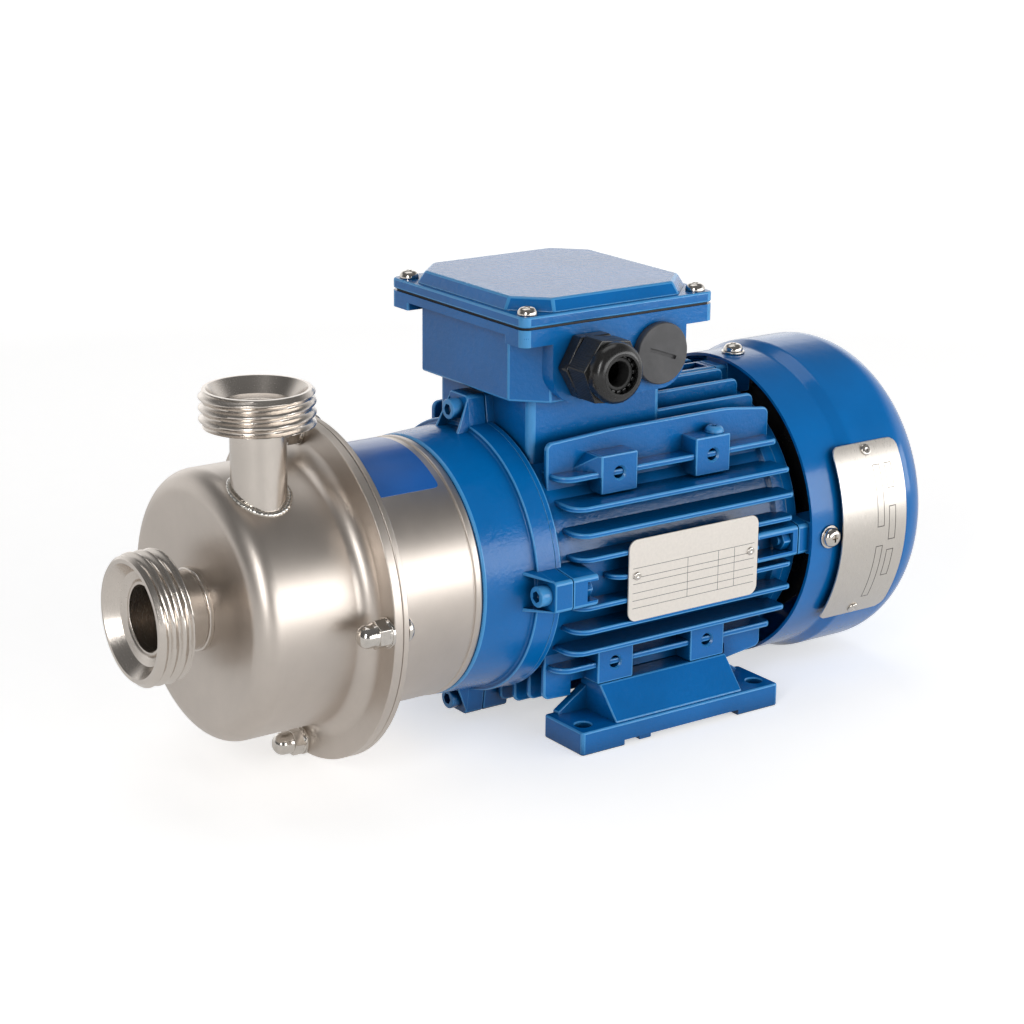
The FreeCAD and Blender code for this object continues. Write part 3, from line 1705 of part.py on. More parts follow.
def make_lid_screws():
    seat = rim_top() + lid_gasket_thickness + lid_flange
    tip = rim_top() - lid_screw_bite
    screws = []
    for x, y in lid_screw_places():
        head = domed_head(lid_screw_head, lid_screw_height, lid_screw_round)
        screw = fuse([head, rod(tip - seat, 0, lid_screw_radius)])
        screws.append(aim(screw, x, y, seat, Vector(0, 0, 1)))
    return group(screws)


def outward(shape, x):
    """Aim a cable entry piece, drawn from the box wall at x = 0, out of the -Y face."""
    return aim(shape, x, -rim_half, entry_level, Vector(0, -1, 0))


def make_gland_body():
    shank = entry_radius - thread_gap
    body = fuse([
        hexagon(0, gland_collar_length, gland_flats),
        rod(-gland_shank_length, 1, shank),
        rod(1, gland_collar_length + gland_neck_length, gland_neck_radius)
    ])
    body = body.cut(rod(-gland_shank_length - 1, gland_collar_length + gland_neck_length + 1, gland_bore))
    return outward(body, gland_x)


def make_gland_cap_nut():
    start = gland_collar_length + running_gap
    hex_end = start + gland_nut_hex_length
    end = start + gland_nut_length
    cavity = gland_neck_radius + slip_gap
    mouth = gland_nut_mouth
    dome = turned([
        (hex_end - 1, 0), (hex_end - 1, gland_flats / 2), (hex_end, gland_flats / 2, gland_edge_round),
        (end, gland_dome_radius, gland_dome_round), (end, 0)
    ])
    flats = hexagon(start, hex_end, gland_flats)
    flats.rotate(Vector(0, 0, 0), Vector(1, 0, 0), gland_nut_turn)
    nut = fuse([flats, dome])
    hollow = turned([
        (start - 1, 0), (start - 1, cavity), (end - gland_nut_wall, cavity), (end - gland_nut_wall, mouth),
        (end + 1, mouth), (end + 1, 0)
    ])
    return outward(nut.cut(hollow), gland_x)


def make_gland_seal():
    start = gland_collar_length + gland_neck_length + seat_gap
    end = gland_collar_length + running_gap + gland_nut_length - gland_nut_wall - seat_gap
    return outward(ring(start, end, gland_neck_radius - seat_gap, gland_seal_bore), gland_x)


def make_blanking_plug():
    head = domed_head(plug_radius, plug_head_length, plug_edge_round)
    plug = fuse([head, rod(-plug_shank_length, 0, entry_radius - thread_gap)])
    half_length = plug_slot_length / 2
    half_width = plug_slot_width / 2
    bottom = plug_head_length - plug_slot_depth
    slot = block(bottom, plug_head_length + 1, -half_width, half_width, -half_length, half_length)
    hollow = rod(-plug_shank_length - 1, 0, entry_radius - plug_wall)
    return outward(drill(plug, [slot, hollow]), plug_x)


def block_level():
    return box_floor() + box_wall + block_leg


def stud_places():
    places = []
    for column in (-1, 0, 1):
        for side in (-0.5, 0.5):
            places.append((box_x + column * stud_spacing_x, side * stud_spacing_y))
    return places


def make_terminal_block():
    low = block_level()
    top = low + block_height
    slab = plan_plate(rectangle(box_x, 0, block_length, block_width, block_round), low, top)
    shapes = [slab]
    for sx in (-1, 1):
        for sy in (-1, 1):
            x = box_x + sx * (block_length / 2 - block_leg_inset)
            y = sy * (block_width / 2 - block_leg_inset)
            shapes.append(post(x, y, box_floor() + box_wall, low + 1, block_leg_radius))
    for column in (-0.5, 0.5):
        x = box_x + column * stud_spacing_x
        side = block_width / 2 - 1
        rib = block(x - block_rib / 2, x + block_rib / 2, -side, side, top - 1, top + block_rib_height)
        shapes.append(rib)
    body = fuse(shapes)
    holes = [post(x, y, top - stud_sink, top + 1, stud_radius + slip_gap) for x, y in stud_places()]
    return drill(body, holes)


def make_terminal_studs():
    top = block_level() + block_height
    studs = []
    for x, y in stud_places():
        nut_low = top + link_thickness + slip_gap
        nut = post(x, y, nut_low, nut_low + stud_nut_height, stud_nut_radius)
        studs.append(fuse([post(x, y, top - stud_sink + seat_gap, top + stud_height, stud_radius), nut]))
    return group(studs)


def make_terminal_links():
    low = block_level() + block_height
    links = []
    for column in (-1, 0, 1):
        x = box_x + column * stud_spacing_x
        outline = rectangle(x, 0, link_width, stud_spacing_y + link_width, link_round)
        link = plan_plate(outline, low + slip_gap / 2, low + link_thickness)
        links.append(link)
    holes = [post(x, y, low - 1, low + link_thickness + 1, stud_radius + slip_gap) for x, y in stud_places()]
    return group([drill(link, holes) for link in links])


def main():
    os.makedirs("parts", exist_ok=True)
    foot = make_foot()
    pieces = {
        "suction_union": make_suction_union(),
        "discharge_union": make_discharge_union(),
        "casing": make_casing(),
        "casing_gasket": make_casing_gasket(),
        "back_cover": make_back_cover(),
        "seal_seat": make_seal_seat(),
        "seal_head": make_seal_head(),
        "seal_bellows": make_seal_bellows(),
        "lantern": make_lantern(),
        "lantern_label": make_lantern_label(),
        "flange_bolts": make_flange_bolts(),
        "flange_washers": make_flange_washers(),
        "flange_cap_nuts": make_flange_cap_nuts(),
        "lantern_screws": make_lantern_screws(),
        "pump_shaft": make_pump_shaft(),
        "clamp_screws": make_clamp_screws(),
        "impeller": make_impeller(),
        "impeller_nut": make_impeller_nut(),
        "drive_endshield": make_drive_endshield(),
        "stator_frame": make_stator_frame(),
        "rear_endshield": make_rear_endshield(),
        "tie_screws": make_tie_screws(),
        "tie_nuts": make_tie_nuts(),
        "foot_left": foot,
        "foot_right": mirror_y(foot),
        "foot_screws": make_foot_screws(),
        "earth_screw": make_earth_screw(),
        "bearing_outer_rings": make_outer_rings(),
        "bearing_inner_rings": make_inner_rings(),
        "front_ball_set": make_ball_set(front_bearing_x),
        "rear_ball_set": make_ball_set(rear_bearing_x),
        "wave_spring": make_wave_spring(),
        "shaft_seal": make_shaft_seal(),
        "stator_core": make_stator_core(),
        "end_windings": make_end_windings(),
        "motor_shaft": make_motor_shaft(),
        "shaft_key": key_block(0),
        "rotor_core": make_rotor_core(),
        "fan": make_fan(),
        "fan_circlip": make_fan_circlip(),
        "fan_cover": make_fan_cover(),
        "cover_screws": make_cover_screws(),
        "cover_plate": make_cover_plate(),
        "cover_plate_rivets": make_cover_plate_rivets(),
        "nameplate": make_nameplate(),
        "nameplate_rivets": make_nameplate_rivets(),
        "box_gasket": make_box_gasket(),
        "terminal_box": make_terminal_box(),
        "box_screws": make_box_screws(),
        "lid_gasket": make_lid_gasket(),
        "terminal_box_lid": make_terminal_box_lid(),
        "lid_screws": make_lid_screws(),
        "gland_body": make_gland_body(),
        "gland_cap_nut": make_gland_cap_nut(),
        "gland_seal": make_gland_seal(),
        "blanking_plug": make_blanking_plug(),
        "terminal_block": make_terminal_block(),
        "terminal_studs": make_terminal_studs(),
        "terminal_links": make_terminal_links(),
    }
    for name, shape in pieces.items():
        save(name, shape)


main()
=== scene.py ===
import json
import math

import bmesh
import bpy
from mathutils import Matrix, Vector, noise


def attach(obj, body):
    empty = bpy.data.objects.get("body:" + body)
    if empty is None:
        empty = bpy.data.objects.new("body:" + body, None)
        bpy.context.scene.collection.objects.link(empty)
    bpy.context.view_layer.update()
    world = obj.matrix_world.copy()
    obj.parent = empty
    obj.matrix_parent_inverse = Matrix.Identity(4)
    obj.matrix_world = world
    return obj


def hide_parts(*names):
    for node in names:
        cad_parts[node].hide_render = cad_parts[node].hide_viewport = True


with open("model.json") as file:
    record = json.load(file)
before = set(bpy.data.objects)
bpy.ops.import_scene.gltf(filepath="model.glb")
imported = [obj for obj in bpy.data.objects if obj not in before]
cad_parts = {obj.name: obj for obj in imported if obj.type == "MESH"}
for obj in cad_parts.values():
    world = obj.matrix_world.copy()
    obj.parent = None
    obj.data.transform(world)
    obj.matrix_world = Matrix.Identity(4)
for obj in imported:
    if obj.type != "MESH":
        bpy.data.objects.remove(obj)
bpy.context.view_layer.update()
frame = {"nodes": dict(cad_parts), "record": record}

bl_info = {
    "name": "Sanitary pump dressing",
    "version": (1, 0, 0),
    "blender": (4, 5, 0),
    "location": "View3D > Sidebar > Pump",
    "description": "Builds the visible surfaces of a sanitary pump with its flange motor",
    "category": "Object",
}

MM = 0.001
SHAFT_HEIGHT = 71.0
HOUSING = "housing"
QUARTERS = (0, 90, 180, 270)

# Shading: the angles of sharp edges in degrees, and what counts as an edge with a painted highlight in
# millimetres and radians
SHARP_ANGLE = 32.0
BEVEL_ANGLE = 28.0
EDGE_WIDTH = 0.7
CONVEX_BEND = 0.25

# Pump end, in millimetres about the shaft line
SUCTION_FACE = -217.2
CASING_FRONT = -190.0
CASING_RADIUS = 53.4
CASING_WALL = 2.0
CASING_FLANGE_X = -143.0
FLANGE_RADIUS = 69.0
LANTERN_FRONT = -139.0
LANTERN_FLANGE = 2.5
LANTERN_RADIUS = 52.7
LANTERN_WALL = 2.0
SHIELD_FACE = -92.0
FLANGE_BOLT_RADIUS = 64.0
DISCHARGE = (-172.3, -21.0, 89.0)
SUCTION_BORE = 13.0
SUCTION_CREST = 26.0
DISCHARGE_BORE = 9.05
DISCHARGE_CREST = 22.0
DISCHARGE_WELD = 11.2

# Motor
FRAME_FRONT = -59.8
FRAME_REAR = 60.5
FRAME_BORE = 50.5
FRAME_ROOT = 54.0
FRAME_RIM = 56.7
SPIGOT_RADIUS = 50.45
SHIELD_BORE = 47.5
HUB_RADIUS = 22.0
BEARING_RADIUS = 17.5
FIN_FOOT = 30.0
FIN_THICKNESS = 2.4
FIN_PITCH = 10.0
FIN_ROWS = 4
FIN_CIRCLE = 66.0
FIN_FLAT = 62.0
FIN_START = -52.5
FIN_END = 58.5
LAST_FIN_REACH = 49.8
UPRIGHT_FIN_START = -54.0
UPRIGHT_FIN_END = 60.3
UPRIGHT_FIN_CIRCLE = 64.2
OUTER_FIN_TOP = 55.5
BOSS_X = (-25.0, 23.0)
BOSS_LEVEL = 40.0
BOSS_FACE = 50.9
BOSS_SIZE = (18.0, 16.0)
FOOT_HOLE_X = 45.0
FOOT_HOLE_Y = 56.0
EAR_WIDTH = 12.5
EAR_ROOT_WIDTH = 16.8
EAR_FOOT = 52.25
FRONT_EAR_SHIELD = 8.6
FRONT_EAR_FRAME = 12.3
FRONT_EAR_CIRCLE = 61.8
FRONT_EAR_TOP = 68.0
REAR_EAR_CIRCLE = 57.5
REAR_EAR_TOP = 63.0
COVER_FRONT = 65.5
COVER_REAR = 134.0
COVER_NECK = 66.0
COVER_BARREL = 68.6
COVER_SCREW_X = 75.0
COVER_PLATE_SPAN = (80.0, 116.0)
COVER_PLATE_TOP = 69.23
GRILLE_WEB = 5.5
TIE_RADIUS = 2.5
TIE_HEAD_RADIUS = 4.25
EARTH_SCREW = (27.6, -45.4, 48.0)
NAMEPLATE_X = 5.0
NAMEPLATE_LEVEL = -2.0
NAMEPLATE_FACE = -62.8
RULED_LINE = 0.22

# Terminal box
BOX_X = -23.0
PEDESTAL_TOP = 69.7
BOX_FLOOR = 70.5
RIM_TOP = 102.2
LID_LOW = 103.0
LID_PLATE = 4.3
LID_SCREW = 41.5
ENTRY_LEVEL = 85.8
BOX_HALF = 42.5
RIM_HALF = 47.1
PAD_FACE = -RIM_HALF
PAD_HALF = 33.0
GLAND_X = -39.8
PLUG_X = -4.4
ENTRY_RADIUS = 9.85
GLAND_BORE = 6.5
GLAND_FLATS = 24.6

# Stage: the floor in metres, and the camera fitted to the photograph in degrees, millimetres and pixels
FLOOR_HALF = 6.0
CAMERA_ANGLES = (-35.43, 16.90, 0.54)
CAMERA_TARGET = (-41.29, 0, 84.54)
CAMERA_DISTANCE = 1055.45
FOCUS_PIXELS = 2559.0
PHOTO_PIXELS = 1024.0
SENSOR = 36.0


# Outlines and shells

def rounded(points, spacing=12.0):
    """Replaces each corner (u, v, radius) of a closed outline by an arc of short steps."""
    path = []
    count = len(points)
    for index, point in enumerate(points):
        if len(point) < 3:
            path.append((point[0], point[1]))
            continue
        corner = Vector(point[:2])
        before = (Vector(points[index - 1][:2]) - corner).normalized()
        after = (Vector(points[(index + 1) % count][:2]) - corner).normalized()
        half = before.angle(after) / 2
        reach = point[2] / math.tan(half)
        centre = corner + (before + after).normalized() * (point[2] / math.sin(half))
        start = corner + before * reach - centre
        sweep = math.pi - 2 * half
        if start.cross(before) > 0:
            sweep = -sweep
        steps = max(2, math.ceil(math.degrees(abs(sweep)) / spacing))
        for step in range(steps + 1):
            angle = sweep * step / steps
            turned = Matrix.Rotation(angle, 2) @ start
            path.append(tuple(centre + turned))
    return path


def refine(path, spacing):
    """Adds points along the long runs of an outline."""
    result = []
    for index, point in enumerate(path):
        following = path[(index + 1) % len(path)]
        length = math.dist(point, following)
        steps = max(1, math.ceil(length / spacing))
        for step in range(steps):
            part = step / steps
            result.append(tuple(a + (b - a) * part for a, b in zip(point, following)))
    return result


def shell_from(vertices, faces):
    shell = bmesh.new()
    made = [shell.verts.new(vertex) for vertex in vertices]
    for face in faces:
        shell.faces.new([made[index] for index in face])
    bmesh.ops.recalc_face_normals(shell, faces=shell.faces)
    return shell


def turned_rings(shell, outline, steps, relief=None):
    """Rings of points from an outline (x, radius), with one point for a radius of nought."""
    rings = []
    for x, radius in outline:
        if radius < 1e-4:
            rings.append([shell.verts.new((x, 0, 0))])
            continue
        ring = []
        for step in range(steps):
            angle = 2 * math.pi * step / steps
            reach = relief(x, radius, angle) if relief else radius
            ring.append(shell.verts.new((x, -reach * math.sin(angle), reach * math.cos(angle))))
        rings.append(ring)
    return rings


def skin(shell, ring, other, is_open=None):
    """Faces between two rings, without the steps at which is_open(step) holds."""
    steps = max(len(ring), len(other))
    for step in range(steps):
        if is_open and is_open(step):
            continue
        following = (step + 1) % steps
        if len(ring) == 1:
            corners = (ring[0], other[following], other[step])
        elif len(other) == 1:
            corners = (ring[step], ring[following], other[0])
        else:
            corners = (ring[step], ring[following], other[following], other[step])
        shell.faces.new(corners)


def revolve(outline, steps=144, relief=None):
    """Closed shell from an outline (x, radius) turned about the shaft line.

    relief(x, radius, angle) may return another radius for a point."""
    shell = bmesh.new()
    rings = turned_rings(shell, outline, steps, relief)
    for index, ring in enumerate(rings):
        other = rings[(index + 1) % len(rings)]
        if len(ring) > 1 or len(other) > 1:
            skin(shell, ring, other)
    bmesh.ops.recalc_face_normals(shell, faces=shell.faces)
    return shell


def rod(start, end, radius, steps=48):
    """Plain cylinder."""
    return revolve([(start, 0), (end, 0), (end, radius), (start, radius)], steps)


def tube(start, end, bore, radius, steps=64, edge=None):
    """Plain ring, with its outer rims rounded by edge."""
    rim = (edge,) if edge else ()
    return revolve(rounded([(start, bore), (start, radius) + rim, (end, radius) + rim, (end, bore)]), steps)


def knob(start, end, radius, low_edge, high_edge, steps, spacing=12.0):
    """Cylinder with two rounded rims."""
    outline = [(start, 0), (start, radius, low_edge), (end, radius, high_edge), (end, 0)]
    return revolve(rounded(outline, spacing), steps)


def between(lower, upper):
    """Closed shell between two outlines of equally many points."""
    count = len(lower)
    faces = [tuple(range(count)), tuple(range(count, 2 * count))]
    for index in range(count):
        following = (index + 1) % count
        faces.append((index, following, following + count, index + count))
    return shell_from(lower + upper, faces)


def prism(outline, low, high, plane, edge=0.0, segments=2):
    """Plate from an outline in the plane xy, xz or yz, with its sharp edges rounded by edge."""
    place = {
        "xy": lambda u, v, w: (u, v, w),
        "xz": lambda u, v, w: (u, w, v),
        "yz": lambda u, v, w: (w, u, v),
    }[plane]
    shell = between([place(u, v, low) for u, v in outline], [place(u, v, high) for u, v in outline])
    return soften(shell, edge, segments) if edge else shell


def soften(shell, width, segments=2):
    """Rounds every sharp edge."""
    bend = math.radians(BEVEL_ANGLE)
    sharp = [edge for edge in shell.edges if len(edge.link_faces) == 2 and edge.calc_face_angle(0) > bend]
    if sharp:
        bmesh.ops.bevel(shell, geom=sharp, offset=width, offset_type="OFFSET", segments=segments,
                        profile=0.5, affect="EDGES", clamp_overlap=True)
    return shell


def box_shell(x0, x1, y0, y1, z0, z1, edge=0.0):
    return prism([(x0, y0), (x1, y0), (x1, y1), (x0, y1)], z0, z1, "xy", edge)


def rectangle(u, v, length, width, radius):
    corners = ((-1, -1), (1, -1), (1, 1), (-1, 1))
    return rounded([(u + length / 2 * along, v + width / 2 * across, radius) for along, across in corners])


def cut_square(centre, half, cut, radius=1.5):
    inner = half - cut
    points = [(half, inner), (inner, half), (-inner, half), (-half, inner),
              (-half, -inner), (-inner, -half), (inner, -half), (half, -inner)]
    return rounded([(centre + u, v, radius) for u, v in points])


def on_barrel(x, angle, radius):
    """Point about the shaft line: angle 0 is the top and a quarter turn the -Y side."""
    return x, -radius * math.sin(angle), radius * math.cos(angle)


def sheet(u_span, v_span, layers, counts, corner, place, v_unit=lambda radius: 1.0):
    """Thin curved sheet with round corners, between two layers at two radii.

    place(u, v, radius) gives a point of a layer, v_unit(radius) the millimetres of a unit of v."""
    columns, rows = counts
    (u_low, u_high), (v_low, v_high) = u_span, v_span
    vertices = []
    for radius in layers:
        unit = v_unit(radius)
        for row in range(rows + 1):
            for column in range(columns + 1):
                u = u_low + (u_high - u_low) * column / columns
                v = v_low + (v_high - v_low) * row / rows
                short_u = corner - min(u - u_low, u_high - u)
                short_v = corner - min(v - v_low, v_high - v) * unit
                away = math.hypot(max(0.0, short_u), max(0.0, short_v))
                if away > corner:
                    pull = 1.0 - corner / away
                    u += short_u * pull * (1 if 2 * u < u_low + u_high else -1)
                    v += short_v * pull / unit * (1 if 2 * v < v_low + v_high else -1)
                vertices.append(place(u, v, radius))
    width = columns + 1
    layer = width * (rows + 1)
    faces = []
    for base in (0, layer):
        for row in range(rows):
            for column in range(columns):
                point = base + row * width + column
                faces.append((point, point + 1, point + 1 + width, point + width))
    rim = list(range(width))
    rim += [columns + width * row for row in range(1, rows + 1)]
    rim += [rows * width + column for column in range(columns - 1, -1, -1)]
    rim += [width * row for row in range(rows - 1, 0, -1)]
    for index, point in enumerate(rim):
        following = rim[(index + 1) % len(rim)]
        faces.append((point, following, following + layer, point + layer))
    return shell_from(vertices, faces)


def hexagon(flats, turn=0.0):
    reach = flats / 2 / math.cos(math.pi / 6)
    angles = [math.radians(60 * corner + turn) for corner in range(6)]
    return [(reach * math.cos(angle), reach * math.sin(angle)) for angle in angles]


def moved(shell, matrix):
    bmesh.ops.transform(shell, matrix=matrix, verts=shell.verts)
    if matrix.to_3x3().determinant() < 0:
        bmesh.ops.reverse_faces(shell, faces=shell.faces)
    return shell


def shifted(shell, x=0.0, y=0.0, z=0.0):
    return moved(shell, Matrix.Translation((x, y, z)))


def turned(shell, angle):
    """Turns about the shaft line: 0 is the top and 90 the -Y side."""
    return moved(shell, Matrix.Rotation(math.radians(angle), 4, "X"))


def aimed(shell, x, y, z, direction):
    """Points a shell drawn along +X in another direction, from the given place."""
    spin = Vector((1, 0, 0)).rotation_difference(Vector(direction)).to_matrix().to_4x4()
    return moved(shell, Matrix.Translation((x, y, z)) @ spin)


def raised(shell, x, y, z):
    """Points a shell drawn along +X upwards."""
    return aimed(shell, x, y, z, (0, 0, 1))


def mirrored(shell):
    return moved(shell.copy(), Matrix.Scale(-1, 4, (0, 1, 0)))


def both(shell):
    """The shell and its twin on the other side."""
    return [shell, mirrored(shell)]


def around(shell):
    return [turned(shell.copy(), angle) for angle in QUARTERS]


def all_around(shells):
    return [copy for shell in shells for copy in around(shell)]


def joined(shells):
    """One mesh of several shells."""
    whole = bmesh.new()
    for shell in shells:
        holder = bpy.data.meshes.new("holder")
        shell.to_mesh(holder)
        whole.from_mesh(holder)
        bpy.data.meshes.remove(holder)
    return whole


def linked(name, data):
    obj = bpy.data.objects.new(name, data)
    bpy.context.scene.collection.objects.link(obj)
    return obj


def new_object(shell, name="scratch"):
    mesh = bpy.data.meshes.new(name)
    shell.to_mesh(mesh)
    return linked(name, mesh)


def carved(shell, cutters, action="DIFFERENCE"):
    """Cuts shells out of a shell, or joins or intersects them with it."""
    base = new_object(shell)
    tools = [new_object(cutter) for cutter in cutters]
    for tool in tools:
        step = base.modifiers.new("cut", "BOOLEAN")
        step.operation = action
        step.solver = "EXACT"
        step.object = tool
    bpy.context.view_layer.update()
    evaluated = base.evaluated_get(bpy.context.evaluated_depsgraph_get())
    mesh = bpy.data.meshes.new_from_object(evaluated)
    if not mesh.polygons:
        raise RuntimeError("a cut left nothing of its piece")
    result = bmesh.new()
    result.from_mesh(mesh)
    bpy.data.meshes.remove(mesh)
    for obj in [base] + tools:
        data = obj.data
        bpy.data.objects.remove(obj)
        bpy.data.meshes.remove(data)
    return result


def mark_edges(shell):
    """Marks the narrow faces of convex edges, which the paint finish lightens as a painted highlight."""
    layer = shell.faces.layers.float.new("edge")
    for face in shell.faces:
        longest = max(edge.calc_length() for edge in face.edges)
        if face.calc_area() < EDGE_WIDTH * longest:
            bend = sum(edge.calc_face_angle_signed(0) for edge in face.edges if len(edge.link_faces) == 2)
            face[layer] = 1.0 if bend > CONVEX_BEND else 0.0


def piece(name, shells, slot, nodes=(), finish=None):
    """Makes one object of the shells, rides it on the housing and dresses it."""
    whole = joined(shells)
    mark_edges(whole)
    scale = Matrix.Translation((0, 0, SHAFT_HEIGHT * MM)) @ Matrix.Scale(MM, 4)
    bmesh.ops.transform(whole, matrix=scale, verts=whole.verts)
    limit = math.radians(SHARP_ANGLE)
    for face in whole.faces:
        face.smooth = True
    for edge in whole.edges:
        edge.smooth = len(edge.link_faces) != 2 or edge.calc_face_angle(0) < limit
    obj = new_object(whole, name)
    whole.free()
    level = obj.modifiers.new("even shading", "WEIGHTED_NORMAL")
    level.keep_sharp = True
    obj.data.materials.append(material(finish or slot))
    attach(obj, HOUSING)
    if nodes:
        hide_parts(*nodes)
    return obj


# Shader building

class Signal:
    """A shader socket that takes part in sums, products and comparisons."""

    def __init__(self, recipe, socket):
        self.recipe = recipe
        self.socket = socket

    def maths(self, operation, *values):
        return self.recipe.node("ShaderNodeMath", {"operation": operation}, dict(enumerate(values)))

    def __add__(self, other):
        return self.maths("ADD", self, other)

    def __radd__(self, other):
        return self.maths("ADD", other, self)

    def __sub__(self, other):
        return self.maths("SUBTRACT", self, other)

    def __rsub__(self, other):
        return self.maths("SUBTRACT", other, self)

    def __mul__(self, other):
        return self.maths("MULTIPLY", self, other)

    def __rmul__(self, other):
        return self.maths("MULTIPLY", other, self)

    def __truediv__(self, other):
        return self.maths("DIVIDE", self, other)

    def __rtruediv__(self, other):
        return self.maths("DIVIDE", other, self)

    def __pow__(self, other):
        return self.maths("POWER", self, other)

    def __gt__(self, other):
        return self.maths("GREATER_THAN", self, other)

    def __lt__(self, other):
        return self.maths("LESS_THAN", self, other)

    def clamped(self):
        return self.recipe.node("ShaderNodeClamp", {}, {0: self})

    def size(self):
        return self.maths("ABSOLUTE", self)

    def root(self):
        return self.maths("SQRT", self)


class Recipe:
    """Node tree of one finish, or of the world when one is given."""

    def __init__(self, name, world=None):
        self.material = world or bpy.data.materials.new(name)
        self.material.use_nodes = True
        self.tree = self.material.node_tree
        self.shader = self.tree.nodes["Background" if world else "Principled BSDF"]

    def node(self, kind, settings=None, inputs=None, output=0):
        made = self.tree.nodes.new(kind)
        for key, value in (settings or {}).items():
            if key == "stops":
                ramp = made.color_ramp
                while len(ramp.elements) > 2:
                    ramp.elements.remove(ramp.elements[-1])
                while len(ramp.elements) < len(value):
                    ramp.elements.new(0.5)
                for element, (place, colour) in zip(ramp.elements, value):
                    element.position = place
                    element.color = colour
            else:
                setattr(made, key, value)
        for key, value in (inputs or {}).items():
            socket = made.inputs[key]
            if isinstance(value, Signal):
                self.tree.links.new(value.socket, socket)
            else:
                socket.default_value = value
        return Signal(self, made.outputs[output])

    def place(self, output="Object"):
        return self.node("ShaderNodeTexCoord", output=output)

    def ray(self, kind):
        """1 for rays of one kind, such as Is Camera Ray."""
        return self.node("ShaderNodeLightPath", output=kind)

    def parts(self, vector):
        first = self.node("ShaderNodeSeparateXYZ", {}, {0: vector})
        return [Signal(self, socket) for socket in first.socket.node.outputs]

    def vector(self, x, y, z):
        return self.node("ShaderNodeCombineXYZ", {}, {0: x, 1: y, 2: z})

    def round_place(self):
        """Length along the shaft, radius and angle about it, in metres and turns."""
        x, y, z = self.parts(self.place())
        level = z - SHAFT_HEIGHT * MM
        return x, (y * y + level * level).root(), y.maths("ARCTAN2", y, level) / (2 * math.pi)

    def noise(self, vector, scale, detail=3.0, roughness=0.5):
        inputs = {"Vector": vector, "Scale": scale, "Detail": detail, "Roughness": roughness}
        return self.node("ShaderNodeTexNoise", {}, inputs)

    def bands(self, direction, inputs):
        """Wave bands across an axis of the object."""
        settings = {"wave_type": "BANDS", "bands_direction": direction}
        return self.node("ShaderNodeTexWave", settings, {"Vector": self.place(), **inputs})

    def ramp(self, value, low, high):
        """Straight ramp from 0 at low to 1 at high."""
        return self.node("ShaderNodeMapRange", {"clamp": True},
                         {"Value": value, "From Min": low, "From Max": high, "To Min": 0.0, "To Max": 1.0})

    def mix(self, factor, first, second):
        return self.node("ShaderNodeMix", {"data_type": "RGBA"}, {0: factor, 6: first, 7: second}, output=2)

    def shade(self, value, low, high, tint, dark, light):
        """A tint that goes from dark to light times itself as value goes from low to high."""
        return self.mix(self.ramp(value, low, high), scaled(tint, dark), scaled(tint, light))

    def bump(self, height, distance, strength=1.0, normal=None):
        inputs = {"Height": height, "Distance": distance, "Strength": strength}
        if normal is not None:
            inputs["Normal"] = normal
        return self.node("ShaderNodeBump", {}, inputs)

    def edges(self):
        """1 on the narrow rounded edges that mark_edges found."""
        return self.node("ShaderNodeAttribute", {"attribute_name": "edge"}, output="Fac")

    def surface(self, base, rough, normal, fixed=None):
        varying = {"Base Color": base, "Roughness": rough, "Normal": normal}
        return self.finish(varying, fixed or {})

    def finish(self, varying, fixed):
        for name, value in varying.items():
            self.tree.links.new(value.socket, self.shader.inputs[name])
        for name, value in fixed.items():
            self.shader.inputs[name].default_value = value
        return self.material


def colour(red, green, blue):
    return (red, green, blue, 1.0)


def scaled(tint, factor):
    return colour(*[min(1.0, channel * factor) for channel in tint[:3]])


def paint_recipe(name, grain, depth, gloss):
    """Gloss machinery paint with orange peel over a casting or a pressed sheet, with painted shade in
    crevices and a painted highlight on convex edges.
    """
    recipe = Recipe(name)
    settings = bpy.context.scene.pump_paint
    base = colour(*settings.colour)
    place = recipe.place()
    peel = recipe.noise(place, 900.0, 2.0, 0.5)
    lumps = recipe.noise(place, grain, 4.0, 0.62)
    cloud = recipe.noise(place, 28.0, 3.0)
    shade = recipe.shade(cloud, 0.3, 0.7, base, 0.90, 1.08)
    # painted shade: an ambient occlusion ramp darkens the paint towards a fifth of its colour in crevices,
    # gaps and corners
    ambient_shade = recipe.node("ShaderNodeAmbientOcclusion", {"samples": 4}, {"Distance": 14.0 * MM}, output="AO")
    shade = recipe.mix(recipe.ramp(ambient_shade, 0.25, 0.85), scaled(base, 0.22), shade)
    # painted highlight: narrow convex edges away from crevices are lightened towards a pale blue
    edge = recipe.edges() * recipe.ramp(ambient_shade, 0.5, 0.8)
    edge_highlight = recipe.mix(edge * 0.65, shade, colour(0.10, 0.42, 0.80))
    dust = recipe.ramp(recipe.noise(place, 160.0, 4.0, 0.7), 0.62, 0.86)
    tint = recipe.mix(dust * 0.06, edge_highlight, colour(0.10, 0.24, 0.42))
    rough = 0.13 + (1.0 - gloss) * 0.25 + (lumps - 0.5) * 0.12 + dust * 0.08
    fine = recipe.bump(peel, 0.00006, 0.35)
    relief = recipe.bump(lumps, depth, 1.0, fine)
    return recipe.surface(tint, rough.clamped(), relief,
                          {"Coat Weight": settings.coat, "Coat Roughness": 0.04, "Specular IOR Level": 0.38})


